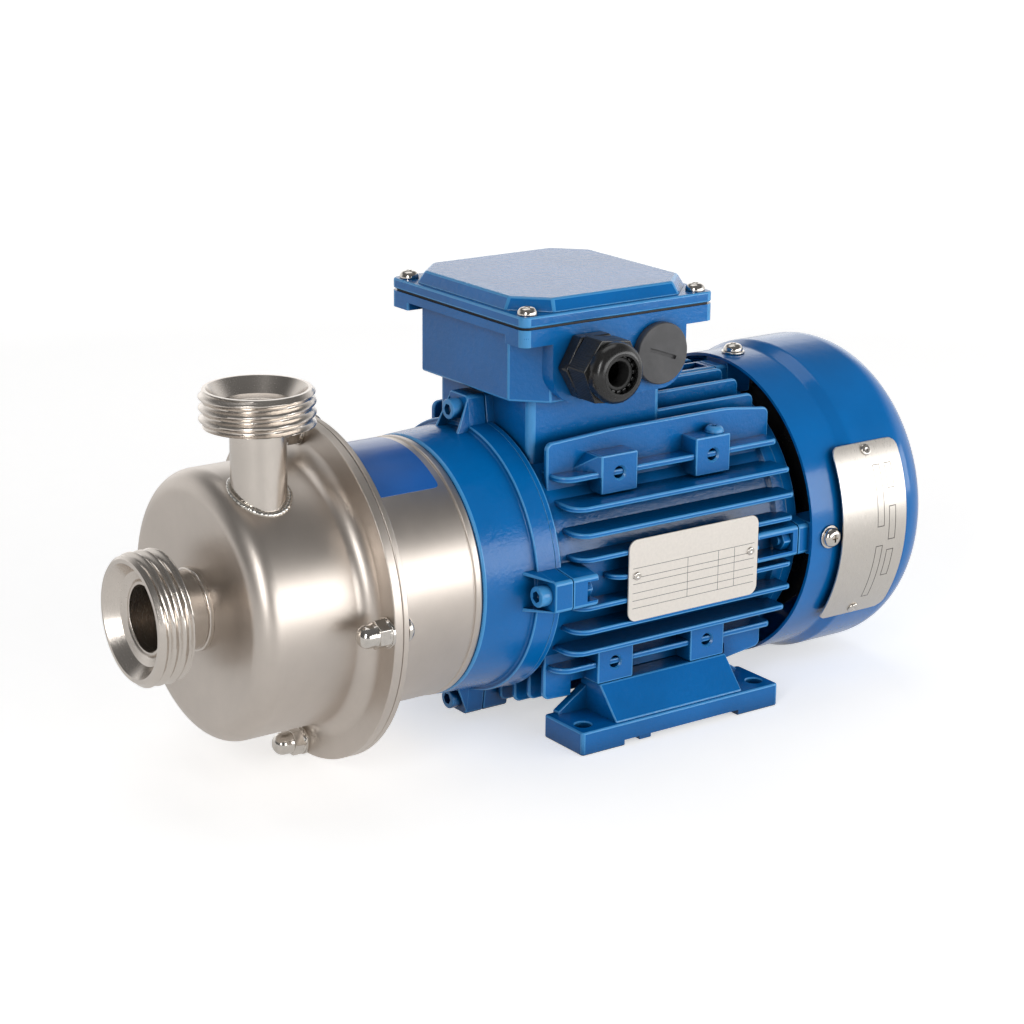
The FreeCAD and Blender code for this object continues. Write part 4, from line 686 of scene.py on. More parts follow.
def satin_steel_recipe(name, turned_marks, rough_level, tint):
    """Stainless with a satin grain; turned_marks sets how far it runs round the shaft."""
    recipe = Recipe(name)
    x, radius, angle = recipe.round_place()
    place = recipe.place()
    along = recipe.vector(x, radius, angle * 0.012)
    streaks = recipe.noise(along, 2600.0, 2.0, 0.7)
    bands = recipe.noise(along, 240.0, 3.0, 0.6)
    blast = recipe.noise(place, 3200.0, 2.0, 0.6)
    blotch = recipe.noise(place, 34.0, 4.0, 0.62)
    grain = streaks * turned_marks + blast * (1.0 - turned_marks)
    base = recipe.shade(blotch, 0.30, 0.72, tint, 0.93, 1.04)
    base = recipe.mix((bands - 0.5).size() * (0.7 * turned_marks), base, scaled(tint, 0.80))
    rough = rough_level + (grain - 0.5) * 0.16 + (blotch - 0.5) * 0.08
    return recipe.surface(base, rough.clamped(), recipe.bump(grain, 0.00004, 0.5), {"Metallic": 1.0})


def bright_steel_recipe(name, rough_level, tint):
    """Plated or polished steel of small fasteners."""
    recipe = Recipe(name)
    place = recipe.place()
    smear = recipe.noise(place, 260.0, 4.0, 0.65)
    grain = recipe.noise(place, 1800.0, 2.0, 0.5)
    base = recipe.shade(smear, 0.35, 0.75, tint, 1.0, 0.82)
    rough = rough_level + (smear - 0.5) * 0.14
    return recipe.surface(base, rough.clamped(), recipe.bump(grain, 0.00003, 0.4), {"Metallic": 1.0})


def plastic_recipe(name, tint, rough_level, grain, depth):
    """Moulded plastic or rubber with a fine texture."""
    recipe = Recipe(name)
    place = recipe.place()
    texture = recipe.noise(place, grain, 3.0, 0.6)
    smear = recipe.noise(place, 120.0, 3.0, 0.6)
    base = recipe.shade(smear, 0.4, 0.8, tint, 1.0, 1.5)
    rough = rough_level + (smear - 0.5) * 0.15
    return recipe.surface(base, rough.clamped(), recipe.bump(texture, depth, 0.6))


def line_mask(value, places):
    """1 on thin lines across value, at the given places."""
    mask = None
    for place in places:
        line = (value - place).size() < RULED_LINE / 2
        mask = line if mask is None else mask.maths("MAXIMUM", mask, line)
    return mask


def nameplate_recipe(name):
    """Pale anodised plate with a ruled grid."""
    recipe = Recipe(name)
    x, _, z = recipe.parts(recipe.place())
    u = x / MM - NAMEPLATE_X
    v = z / MM - (SHAFT_HEIGHT + NAMEPLATE_LEVEL)
    rows = line_mask(v, (5.2, 1.2, -1.4, -5.2, -8.4, -11.6))
    columns = line_mask(u, (-3.5, 12.5, 21.0))
    inside = (u.size() < 31.5) * (v < 5.3) * (v > -11.7)
    ink = rows * (u.size() < 31.5) + columns * inside
    speckle = recipe.noise(recipe.place(), 700.0, 3.0, 0.6)
    brushed = recipe.noise(recipe.vector(x * 0.05, 0.0, z), 5200.0, 2.0, 0.5)
    tint = colour(0.80, 0.75, 0.69)
    base = recipe.shade(speckle, 0.3, 0.75, tint, 0.95, 1.03)
    base = recipe.mix(ink.clamped(), base, colour(0.10, 0.10, 0.10))
    rough = 0.36 + (brushed - 0.5) * 0.12
    return recipe.surface(base, rough.clamped(), recipe.bump(brushed, 0.00002, 0.3), {"Metallic": 0.25})


def cover_plate_recipe(name):
    """Brushed aluminium plate with ruled boxes."""
    recipe = Recipe(name)
    x, radius, angle = recipe.round_place()
    u = x / MM - sum(COVER_PLATE_SPAN) / 2
    v = (angle + 0.25) * (-2 * math.pi * 69.0)
    brushed = recipe.noise(recipe.vector(x * 14.0, radius, angle * 0.3), 420.0, 3.0, 0.6)
    tint = colour(0.66, 0.62, 0.57)
    base = recipe.shade(brushed, 0.3, 0.7, tint, 0.90, 1.07)
    ink = None
    for centre_u, centre_v, half_u, half_v in ((3.5, 21.0, 2.0, 13.0), (3.5, -14.0, 2.0, 13.5),
                                               (10.0, 17.0, 2.0, 6.5), (10.0, -1.5, 2.0, 7.5),
                                               (10.0, -22.0, 2.0, 5.5)):
        across = (u - centre_u).size()
        up = (v - centre_v).size()
        ruled = (across < half_u) * (up < half_v) - (across < half_u - 0.4) * (up < half_v - 0.4)
        ink = ruled if ink is None else ink + ruled
    base = recipe.mix(ink.clamped(), base, colour(0.14, 0.13, 0.12))
    rough = 0.30 + (brushed - 0.5) * 0.18
    return recipe.surface(base, rough.clamped(), recipe.bump(brushed, 0.00002, 0.4), {"Metallic": 0.9})


def knurl_recipe(name, tint):
    """Moulded black polyamide with the fine wavy grip of a gland nut."""
    recipe = Recipe(name)
    _, y, _ = recipe.parts(recipe.place())
    wave = recipe.bands("Z", {"Scale": 420.0, "Distortion": 2.4, "Detail": 1.0, "Detail Scale": 2.2})
    on_nut = (y < -0.0538) * (y > -0.0636)
    speck = recipe.noise(recipe.place(), 900.0, 2.0, 0.6)
    height = wave * on_nut + speck * 0.1
    base = recipe.shade(speck, 0.4, 0.8, tint, 1.0, 1.6)
    rough = 0.22 + on_nut * 0.16 + (speck - 0.5) * 0.06
    return recipe.surface(base, rough.clamped(), recipe.bump(height, 0.00012, 0.7))


def label_recipe(name):
    """Blue film, slightly wrinkled."""
    recipe = Recipe(name)
    place = recipe.place()
    wrinkle = recipe.noise(place, 60.0, 3.0, 0.5)
    speck = recipe.noise(place, 800.0, 2.0, 0.6)
    base = recipe.shade(wrinkle, 0.3, 0.7, colour(0.012, 0.115, 0.42), 0.92, 1.1)
    rough = 0.3 + (speck - 0.5) * 0.1
    return recipe.surface(base, rough.clamped(), recipe.bump(wrinkle, 0.0001, 0.3), {"Coat Weight": 0.3})


def laminated_recipe(name):
    """Stacked core sheets with a little rust."""
    recipe = Recipe(name)
    sheets = recipe.bands("X", {"Scale": 320.0, "Distortion": 0.4})
    base = recipe.mix(sheets, colour(0.20, 0.20, 0.21), colour(0.34, 0.34, 0.35))
    rust = recipe.noise(recipe.place(), 200.0, 4.0, 0.6)
    base = recipe.mix(recipe.ramp(rust, 0.62, 0.8) * 0.4, base, colour(0.22, 0.11, 0.06))
    return recipe.surface(base, 0.45 + rust * 0.2, recipe.bump(sheets, 0.0001, 0.5), {"Metallic": 0.8})


def winding_recipe(name):
    """Varnished copper wires that run round the shaft."""
    recipe = Recipe(name)
    x, radius, angle = recipe.round_place()
    wires = recipe.node("ShaderNodeTexVoronoi", {"feature": "F1"},
                        {"Vector": recipe.vector(x, radius, angle * 0.05), "Scale": 900.0}, "Distance")
    varnish = recipe.noise(recipe.place(), 90.0, 3.0, 0.6)
    base = recipe.mix(varnish, colour(0.42, 0.13, 0.04), colour(0.62, 0.27, 0.10))
    return recipe.surface(base, 0.25 + varnish * 0.25, recipe.bump(wires, 0.0004, 0.8), {"Metallic": 0.7})


FINISHES = {
    "blue_paint": (paint_recipe, 420.0, 0.00022, 0.72),
    "blue_cover_paint": (paint_recipe, 150.0, 0.00010, 0.9),
    "stainless_satin": (satin_steel_recipe, 0.35, 0.38, colour(0.62, 0.56, 0.505)),
    "stainless_machined": (satin_steel_recipe, 0.75, 0.25, colour(0.66, 0.605, 0.55)),
    "weld": (bright_steel_recipe, 0.20, colour(0.72, 0.69, 0.64)),
    "fastener_steel": (bright_steel_recipe, 0.16, colour(0.70, 0.66, 0.61)),
    "bearing_steel": (bright_steel_recipe, 0.22, colour(0.56, 0.56, 0.57)),
    "cast_aluminium": (bright_steel_recipe, 0.45, colour(0.60, 0.60, 0.61)),
    "brass": (bright_steel_recipe, 0.25, colour(0.66, 0.48, 0.20)),
    "plate_steel": (bright_steel_recipe, 0.24, colour(0.68, 0.64, 0.59)),
    "plate_cream": (nameplate_recipe,),
    "cover_plate": (cover_plate_recipe,),
    "blue_label": (label_recipe,),
    "black_plastic": (plastic_recipe, colour(0.014, 0.014, 0.014), 0.26, 700.0, 0.00006),
    "gland_grip": (knurl_recipe, colour(0.014, 0.014, 0.014)),
    "grey_plastic": (plastic_recipe, colour(0.055, 0.055, 0.058), 0.44, 1200.0, 0.00005),
    "block_plastic": (plastic_recipe, colour(0.05, 0.03, 0.02), 0.4, 500.0, 0.0001),
    "black_rubber": (plastic_recipe, colour(0.012, 0.012, 0.012), 0.6, 900.0, 0.0001),
    "white_rubber": (plastic_recipe, colour(0.6, 0.6, 0.58), 0.5, 900.0, 0.0001),
    "seal_face": (plastic_recipe, colour(0.06, 0.06, 0.065), 0.25, 900.0, 0.00003),
    "core_steel": (laminated_recipe,),
    "copper_winding": (winding_recipe,),
}
made_materials = {}


def material(name):
    """Makes a finish at its first use."""
    if name not in made_materials:
        recipe, *values = FINISHES[name]
        made_materials[name] = recipe(name, *values)
    return made_materials[name]


# Pieces of the pump end

def thread_relief(start, end, crest, depth, pitch):
    """Round thread cut into everything that stands above its flanks."""
    def relief(x, radius, angle):
        if not start <= x <= end or radius < crest - depth - 1.5:
            return radius
        turn = (x - start) / pitch - angle / (2 * math.pi)
        wave = 0.5 - 0.5 * math.cos(2 * math.pi * turn)
        return min(radius, crest - depth * wave)
    return relief


def union_outline(face, bore, neck, crest, thread, rim, mouth, seat, cone, step, shoulder, neck_end):
    """Union with a round thread, a seat cone and a small step at its end."""
    lip = 1.3
    ledge = face + cone + step
    return rounded([
        (face, mouth),
        (face, rim, 0.35),
        (face + crest - rim, crest, 0.5),
        (face + thread, crest, 0.8),
        (face + thread + shoulder, neck, 1.2),
        (neck_end, neck),
        (neck_end, bore),
        (ledge - 0.4, bore, 0.4),
        (ledge - 0.4, bore + lip, 0.3),
        (ledge + 0.3, bore + lip + 0.3),
        (ledge - 0.3, bore + lip + 0.9),
        (face + cone, seat),
    ], 15.0)


def weld_ring(bead, place, ripples, seed):
    """Irregular weld bead: a tube whose thickness swells with each ripple."""
    rings = []
    steps, around_tube = 220, 12
    for step in range(steps):
        angle = 2 * math.pi * step / steps
        centre = Vector(place(angle, 0.0))
        side = Vector(place(angle, 1.0)) - centre
        ahead = Vector(place(angle + 0.01, 0.0)) - centre
        side.normalize()
        up = side.cross(ahead).normalized()
        wobble = noise.noise(Vector((math.cos(angle) * 2.2, math.sin(angle) * 2.2, seed)))
        scale = 1.0 + 0.16 * abs(math.sin(angle * ripples / 2)) + 0.35 * wobble
        ring = []
        for part in range(around_tube):
            turn = 2 * math.pi * part / around_tube
            ring.append(centre + side * (bead * scale * math.cos(turn))
                        + up * (bead * scale * 0.8 * math.sin(turn)))
        rings.append(ring)
    vertices = [point for ring in rings for point in ring]
    faces = []
    for step in range(steps):
        following = (step + 1) % steps
        for part in range(around_tube):
            beside = (part + 1) % around_tube
            faces.append((step * around_tube + part, step * around_tube + beside,
                          following * around_tube + beside, following * around_tube + part))
    return shell_from(vertices, faces)


def build_suction_union():
    settings = bpy.context.scene.pump_threads
    face = SUCTION_FACE
    outline = union_outline(face, SUCTION_BORE, 15.4, SUCTION_CREST, 14.0, 23.9, 22.3, 18.35, 5.2, 1.4, 2.5,
                            CASING_FRONT)
    fine = refine(outline, 0.4)
    relief = thread_relief(face + 0.6, face + 17.0, SUCTION_CREST, settings.depth / MM, settings.pitch / MM)
    body = revolve(fine, 160, relief)

    def ripple(x, radius, angle):
        swell = noise.noise(Vector((math.cos(angle) * 9, math.sin(angle) * 9, x)))
        return radius + 0.12 * swell if radius > 15.6 else radius

    low, high = CASING_FRONT - 2.2, CASING_FRONT + 0.3
    bead = revolve(rounded([(low, 14.5), (low, 16.5, 0.9), (high, 16.5, 0.6), (high, 14.5)]), 144, ripple)
    piece("suction_union_threaded", [body, bead], "stainless_machined", ["suction_union"])


def build_discharge_union():
    settings = bpy.context.scene.pump_threads
    x, y, top = DISCHARGE
    outline = union_outline(0, DISCHARGE_BORE, 10.65, DISCHARGE_CREST, 14.0, 20.3, 19.0, 15.0, 6.0, 1.4, 2.0,
                            top - 36.0)
    fine = refine(outline, 0.4)
    relief = thread_relief(0.5, 16.5, DISCHARGE_CREST, settings.depth / MM, settings.pitch / MM)
    body = aimed(revolve(fine, 144, relief), x, y, top, (0, 0, -1))
    saddle = rod(-200, -140, CASING_RADIUS + 0.05, 256)
    body = carved(body, [saddle])
    piece("discharge_union_threaded", [body], "stainless_machined", ["discharge_union"])

    def seam(angle, outward):
        radius = DISCHARGE_WELD + outward
        px = x + radius * math.cos(angle)
        py = y + radius * math.sin(angle)
        return px, py, math.sqrt(CASING_RADIUS ** 2 - py ** 2) + 0.25

    bead = weld_ring(1.15, seam, 44, 3.7)
    piece("discharge_weld", [bead], "stainless_machined", finish="weld")


def casing_outline():
    recess = LANTERN_FRONT - 2.6
    return rounded([
        (CASING_FRONT, SUCTION_BORE),
        (CASING_FRONT, CASING_RADIUS, 9.0),
        (CASING_FLANGE_X, CASING_RADIUS, 7.0),
        (CASING_FLANGE_X, FLANGE_RADIUS, 0.5),
        (LANTERN_FRONT - 0.15, FLANGE_RADIUS, 0.5),
        (LANTERN_FRONT - 0.15, 58.85),
        (recess, 58.85),
        (recess, CASING_RADIUS - CASING_WALL),
        (CASING_FRONT + CASING_WALL, CASING_RADIUS - CASING_WALL, 7.0),
        (CASING_FRONT + CASING_WALL, SUCTION_BORE),
    ], 5.0)


def build_casing():
    body = revolve(casing_outline(), 256)
    x, y, _ = DISCHARGE
    body = carved(body, [raised(rod(0, 80, DISCHARGE_BORE, 64), x, y, 0)])
    piece("casing_pressed", [body], "stainless_satin", ["casing"])


def build_flange_fasteners():
    rear = CASING_FLANGE_X - 1.2
    front = rear - 5.0
    hexes = soften(shifted(prism(hexagon(10.0), 0, 5.0, "yz"), front), 0.35, 2)
    collar = revolve(rounded([(rear - 0.9, 0), (rear - 0.9, 5.2, 0.4), (rear, 5.5), (rear, 0)]), 48)
    dome = revolve(rounded([
        (front + 0.6, 0), (front - 7.0, 0), (front - 7.0, 4.4, 4.0), (front - 1.2, 4.5, 0.5),
        (front + 0.6, 4.85)], 8.0), 48)
    nut = [shifted(shell, z=FLANGE_BOLT_RADIUS) for shell in (hexes, collar, dome)]
    piece("flange_cap_nuts_domed", all_around(nut), "fastener_steel", ["flange_cap_nuts"])
    washer = shifted(tube(rear, CASING_FLANGE_X, 3.2, 6.0, 48, 0.25), z=FLANGE_BOLT_RADIUS)
    piece("flange_washers_flat", around(washer), "fastener_steel", ["flange_washers"])
    seat = LANTERN_FRONT + LANTERN_FLANGE
    head = knob(seat, seat + 3.3, 5.25, 0.3, 2.9, 48, 8.0)
    shank = rod(rear - 4.5, seat + 0.5, 3.0, 32)
    bolt = [shifted(shell, z=FLANGE_BOLT_RADIUS) for shell in (head, shank)]
    piece("flange_bolts_domed", all_around(bolt), "fastener_steel", ["flange_bolts"])


def build_lantern():
    bore = LANTERN_RADIUS - LANTERN_WALL
    tube = revolve(rounded([
        (LANTERN_FRONT, bore),
        (LANTERN_FRONT, FLANGE_RADIUS, 0.5),
        (LANTERN_FRONT + LANTERN_FLANGE, FLANGE_RADIUS, 0.5),
        (LANTERN_FRONT + LANTERN_FLANGE, LANTERN_RADIUS, 1.5),
        (-96.4, LANTERN_RADIUS, 0.3),
        (-96.1, LANTERN_RADIUS - 0.35, 0.15),
        (-95.7, LANTERN_RADIUS - 0.35, 0.15),
        (-95.4, LANTERN_RADIUS + 0.35, 0.6),
        (SHIELD_FACE, LANTERN_RADIUS + 0.35, 1.5),
        (SHIELD_FACE, 35.05),
        (SHIELD_FACE - 3.0, 35.05),
        (SHIELD_FACE - 3.0, bore, 1.0),
    ], 8.0), 256)
    piece("lantern_spun", [tube], "stainless_satin", ["lantern"])
    layers = (LANTERN_RADIUS + 0.02, LANTERN_RADIUS + 0.19)
    film = sheet((-133.0, -99.0), (-45.0, 38.0), layers, (24, 60), 2.0,
                 lambda x, degrees, radius: on_barrel(x, math.radians(degrees), radius),
                 lambda radius: math.radians(1.0) * radius)
    piece("lantern_label_film", [film], "blue_label", ["lantern_label"])


# Pieces of the motor

def ear_shell(x0, x1, top, inset=0.0, edge=0.6):
    """Ear at the top of a ring, wider at its root."""
    half = EAR_WIDTH / 2 - inset
    root = EAR_ROOT_WIDTH / 2 - inset
    outline = rounded([(-root, EAR_FOOT), (root, EAR_FOOT), (half, top, 1.6), (-half, top, 1.6)])
    return prism(outline, x0, x1, "yz", edge)


def ear_webs():
    """Thin sloped webs on both sides of a screw head."""
    seat = FRAME_FRONT - FRONT_EAR_SHIELD
    tip = seat - 5.8
    side = EAR_ROOT_WIDTH / 2
    flank = prism([(seat + 0.8, EAR_FOOT), (seat + 0.8, 66.0), (seat, 66.0), (tip, 53.0), (tip, EAR_FOOT)],
                  -side, side, "xz")
    webs = carved(flank, [ear_shell(tip - 1, seat + 1, FRONT_EAR_TOP, edge=0.0)], "INTERSECT")
    webs = carved(webs, [ear_shell(tip - 2, seat + 2, 80.0, 1.6, 0.0)])
    return soften(webs, 0.35, 2)


def build_drive_endshield():
    ring = FRAME_FRONT - 8.9
    shell = revolve(rounded([
        (SHIELD_FACE - 2.5, 11.5),
        (SHIELD_FACE - 2.5, 35.0, 0.5),
        (SHIELD_FACE, 35.0),
        (SHIELD_FACE, 53.3, 1.4),
        (ring, 54.4, 0.7),
        (ring, 56.5, 0.7),
        (FRAME_FRONT - 0.05, FRAME_RIM, 0.2),
        (FRAME_FRONT, SPIGOT_RADIUS),
        (FRAME_FRONT + 3.0, SPIGOT_RADIUS),
        (FRAME_FRONT + 3.0, SHIELD_BORE),
        (SHIELD_FACE + 4.0, SHIELD_BORE, 4.0),
        (SHIELD_FACE + 4.0, HUB_RADIUS),
        (-74.5, HUB_RADIUS),
        (-74.5, BEARING_RADIUS),
        (-87.5, BEARING_RADIUS),
        (-87.5, 11.5),
    ], 8.0), 256)
    shells = [shell]
    ear = ear_shell(FRAME_FRONT - FRONT_EAR_SHIELD, FRAME_FRONT - 0.1, FRONT_EAR_TOP)
    shells += around(ear) + around(ear_webs())
    piece("drive_endshield_cast", shells, "blue_paint", ["drive_endshield"])


def fin_outline(start, end, tip, front, rear):
    return [(start, FIN_FOOT), (end, FIN_FOOT), (end, tip, rear), (start, tip, front)]


def fin_shell(offset, outline, plane):
    """Cooling fin with a rounded tip that thins a little towards it."""
    shell = prism(rounded(outline), offset - FIN_THICKNESS / 2, offset + FIN_THICKNESS / 2, plane, 0.8, 3)
    axis = 2 if plane == "xy" else 1
    reach = 1 if plane == "xy" else 2
    tip = max(point[1] for point in outline)
    for vertex in shell.verts:
        share = max(0.0, min(1.0, (vertex.co[reach] - 50.0) / (tip - 49.0)))
        vertex.co[axis] = offset + (vertex.co[axis] - offset) * (1.12 - 0.22 * share)
    return shell


def frame_fins():
    fins = []
    for row in range(-FIN_ROWS, FIN_ROWS + 1):
        offset = row * FIN_PITCH
        start, end = (-35.0, 41.0) if row == 0 else (FIN_START, FIN_END)
        tip = min(FIN_FLAT, math.sqrt(FIN_CIRCLE ** 2 - offset ** 2))
        if abs(row) == FIN_ROWS:
            tip = LAST_FIN_REACH
        fin = fin_shell(offset, fin_outline(start, end, tip, 7.0, 2.0), "xy")
        fins += both(fin)
    for row in range(1, FIN_ROWS + 1):
        offset = row * FIN_PITCH
        start, end = UPRIGHT_FIN_START, UPRIGHT_FIN_END
        outline = fin_outline(start, end, math.sqrt(UPRIGHT_FIN_CIRCLE ** 2 - offset ** 2), 3.0, 3.0)
        if row == FIN_ROWS:
            top = OUTER_FIN_TOP
            outline = [(start, FIN_FOOT), (end, FIN_FOOT), (end, top - 2.8, 3.0), (end - 22.0, top, 60.0),
                       (start + 34.0, top, 100.0), (start, top - 1.7, 3.0)]
        fin = fin_shell(offset, outline, "xz")
        fins += both(fin)
        low = turned(fin.copy(), 180)
        if row == FIN_ROWS:
            for start, end, floor in ((-62.0, -40.5, -70.0), (40.5, 62.0, -70.0), (-40.6, 40.6, -47.8)):
                block = box_shell(start, end, -70, 70, floor, 0)
                fins += both(carved(low, [block], "INTERSECT"))
        else:
            fins += both(low)
    return fins


def side_boss(x, level, wedge):
    """Square boss on the -Y side with its drilled hole and countersunk mouth."""
    length, height = BOSS_SIZE
    low, high = level - height / 2, level + height / 2
    block = box_shell(x - length / 2, x + length / 2, -BOSS_FACE, -28.0, low, high, 0.7)
    drill = revolve([(0, 0), (13.0, 0), (12.0, 2.5), (0.9, 2.5), (0.0, 3.2), (-1.0, 3.2), (-1.0, 0)], 32)
    drill = aimed(drill, x, -BOSS_FACE, level, (0, 1, 0))
    shells = [carved(block, [drill])]
    if wedge:
        front = x - length / 2
        tip = front - 9.5
        plan = prism([(front + 0.6, -BOSS_FACE + 0.4), (front, -BOSS_FACE + 0.1), (tip, -38.5), (tip, -28.0),
                      (front + 0.6, -28.0)], low - 5, high + 5, "xy")
        side = prism([(front + 2, level - 1), (front + 2, high - 0.1), (front - 1, high - 0.1),
                      (tip - 0.5, level - 0.3), (tip - 0.5, level - 1)], -60.0, -20.0, "xz")
        shells.append(soften(carved(plan, [side], "INTERSECT"), 0.6))
    return shells


def build_stator_frame():
    barrel = revolve(rounded([
        (FRAME_FRONT + 0.05, FRAME_BORE),
        (FRAME_FRONT + 0.05, FRAME_RIM, 0.2),
        (FRAME_FRONT + 2.4, 57.0, 0.9),
        (FRAME_FRONT + 4.0, FRAME_ROOT, 1.4),
        (FRAME_REAR - 7.1, FRAME_ROOT, 1.2),
        (FRAME_REAR - 5.5, 56.0, 0.8),
        (FRAME_REAR, 56.0, 0.5),
        (FRAME_REAR, FRAME_BORE),
    ], 8.0), 256)
    shells = [barrel] + frame_fins()
    for x, wedge in zip(BOSS_X, (True, False)):
        for level in (-BOSS_LEVEL, BOSS_LEVEL):
            for shell in side_boss(x, level, wedge and level > 0):
                shells += both(shell)
    pedestal = prism(rectangle(BOX_X, 0, 66.0, 64.0, 3.0), 40.0, PEDESTAL_TOP, "xy", 0.5)
    shells.append(pedestal)

    def pocketed(ear, low, high, circle):
        return carved(ear, [box_shell(low, high, -4.05, 4.05, circle - 4.67, 80)])

    pocket_x = FRAME_FRONT + FRONT_EAR_FRAME - 5.5
    front_ear = ear_shell(FRAME_FRONT + 0.1, FRAME_FRONT + FRONT_EAR_FRAME, FRONT_EAR_TOP)
    rear_ear = ear_shell(FRAME_REAR - 22.0, FRAME_REAR - 0.1, REAR_EAR_TOP)
    shells += around(pocketed(front_ear, pocket_x, pocket_x + 9, FRONT_EAR_CIRCLE))
    shells += around(pocketed(rear_ear, FRAME_REAR - 30, FRAME_REAR - 3.0, REAR_EAR_CIRCLE))
    piece("stator_frame_cast", shells, "blue_paint", ["stator_frame"])


def build_tie_fasteners():
    front = FRAME_FRONT - FRONT_EAR_SHIELD
    nut_x = FRAME_FRONT + FRONT_EAR_FRAME - 5.5
    socket = soften(prism(hexagon(4.2), front - 6.0, front - 2.6, "yz"), 0.1, 1)
    head = carved(knob(front - 5.0, front, TIE_HEAD_RADIUS, 0.6, 0.2, 40), [socket])
    shank = rod(front - 0.5, nut_x + 4.7, TIE_RADIUS, 24)
    screws = [shifted(shell, z=FRONT_EAR_CIRCLE) for shell in (head, shank)]
    rear = FRAME_REAR + 6.0
    head = knob(rear - 3.5, rear, TIE_HEAD_RADIUS, 0.3, 0.5, 40)
    shank = rod(FRAME_REAR - 8.5, rear - 3.0, TIE_RADIUS, 24)
    screws += [shifted(shell, z=REAR_EAR_CIRCLE) for shell in (head, shank)]
    piece("tie_screws_painted", all_around(screws), "blue_paint", ["tie_screws"])
    nuts = []
    for x, circle in ((nut_x, FRONT_EAR_CIRCLE), (FRAME_REAR - 7.0, REAR_EAR_CIRCLE)):
        nut = soften(prism(hexagon(8.0, 30.0), x, x + 4.0, "yz"), 0.4, 2)
        nuts += around(shifted(nut, z=circle))
    piece("tie_nuts_painted", nuts, "blue_paint", ["tie_nuts"])


def build_rear_endshield():
    shell = revolve(rounded([
        (60.0, BEARING_RADIUS), (60.0, HUB_RADIUS), (62.5, 24.0), (62.5, SHIELD_BORE), (57.5, SHIELD_BORE),
        (57.5, SPIGOT_RADIUS), (60.6, SPIGOT_RADIUS), (60.6, 55.5, 0.5), (66.5, 55.5, 1.0), (66.5, 24.0, 3.0),
        (77.0, 21.0, 1.0), (77.0, 9.0), (74.0, 9.0), (74.0, BEARING_RADIUS)], 10.0), 192)
    shells = [shell] + around(ear_shell(60.7, 66.5, REAR_EAR_TOP))
    lug = box_shell(66.0, 79.0, -7.0, 7.0, 50.0, 64.6, 0.5)
    well = shifted(rod(62.0, 90.0, 4.55, 32), z=REAR_EAR_CIRCLE)
    lug = carved(carved(lug, [rod(50, 90, 64.6, 256)], "INTERSECT"), [well])
    shells += around(lug)
    piece("rear_endshield_cast", shells, "blue_paint", ["rear_endshield"])


def build_feet():
    """Foot with its sloped web, end gussets, holes and hollow underside."""
    floor = -SHAFT_HEIGHT
    outer, inner = -64.3, -38.0
    top = floor + 9.9
    seat = -48.0
    pad = prism(rectangle(0, (outer + inner) / 2, 102.8, 26.3, 1.5), floor, top, "xy", 0.8, 3)
    relief = [box_shell(-30, 30, outer - 1, inner + 1, floor - 1, floor + 2.5)]
    for x in (-FOOT_HOLE_X, FOOT_HOLE_X):
        hole = revolve([(-1, 0), (12, 0), (12, 3.9), (9.9, 3.9), (9.3, 3.5), (-1, 3.5)], 40)
        relief.append(raised(hole, x, -FOOT_HOLE_Y, floor))
    pad = carved(pad, relief)
    lug = box_shell(-22.2, -16.2, outer + 0.2, outer + 4.0, floor + 0.8, floor + 4.0, 0.3)
    web = prism([(outer + 1.8, top - 1.5), (outer + 1.8, top + 0.2), (-BOSS_FACE - 0.1, seat - 0.1),
                 (inner + 0.1, seat - 0.1), (inner + 0.1, top - 1.5)], -33.0, 33.0, "yz", 0.6, 3)
    gusset = prism([(-47.0, top - 2), (-47.0, top + 1), (-33.0, seat - 3), (33.0, seat - 3), (47.0, top + 1),
                    (47.0, top - 2)], inner - 4.0, inner, "xz", 0.5)
    left = [pad, lug, web, gusset]
    piece("foot_left_cast", left, "blue_paint", ["foot_left"])
    piece("foot_right_cast", [mirrored(shell) for shell in left], "blue_paint", ["foot_right"])


def phillips_recess(size, depth):
    """Cross-shaped cutter pointing along +X from x = 0 downwards."""
    arms = []
    for turn in (0, 90):
        arm = prism([(-size, -size * 0.22), (size, -size * 0.22), (size, size * 0.22), (-size, size * 0.22)],
                    -depth, 1.0, "yz")
        for vertex in arm.verts:
            if vertex.co.x < -depth / 2:
                vertex.co.y *= 0.45
                vertex.co.z *= 0.9
        arms.append(turned(arm, turn))
    return arms


def pan_head(radius, height, shank, length):
    """Pan-head screw along +X from its seat at x = 0, with a cross recess."""
    head = knob(0, height, radius, 0.25, min(radius, height) * 0.85, 56, 7.0)
    recess = [shifted(arm, x=height + 0.05) for arm in phillips_recess(radius * 0.5, height * 0.6)]
    return [carved(head, recess), rod(-length, 0.3, shank, 24)]


def build_earth_screw():
    x, y, seat = EARTH_SCREW
    screw = [raised(shell, x, y, seat) for shell in pan_head(4.0, 2.6, 2.0, 8.0)]
    washer = raised(tube(0, 0.6, 2, 4.2, 40, 0.2), x, y, seat - 0.05)
    piece("earth_screw_painted", screw + [washer], "blue_paint", ["earth_screw"])


def cover_outline(inset):
    neck, barrel = COVER_NECK - inset, COVER_BARREL - inset
    rear = COVER_REAR - inset
    return [(COVER_FRONT, neck), (86.0, neck, 5.0), (92.0, barrel, 5.0), (rear, barrel, 18.0 - inset)]


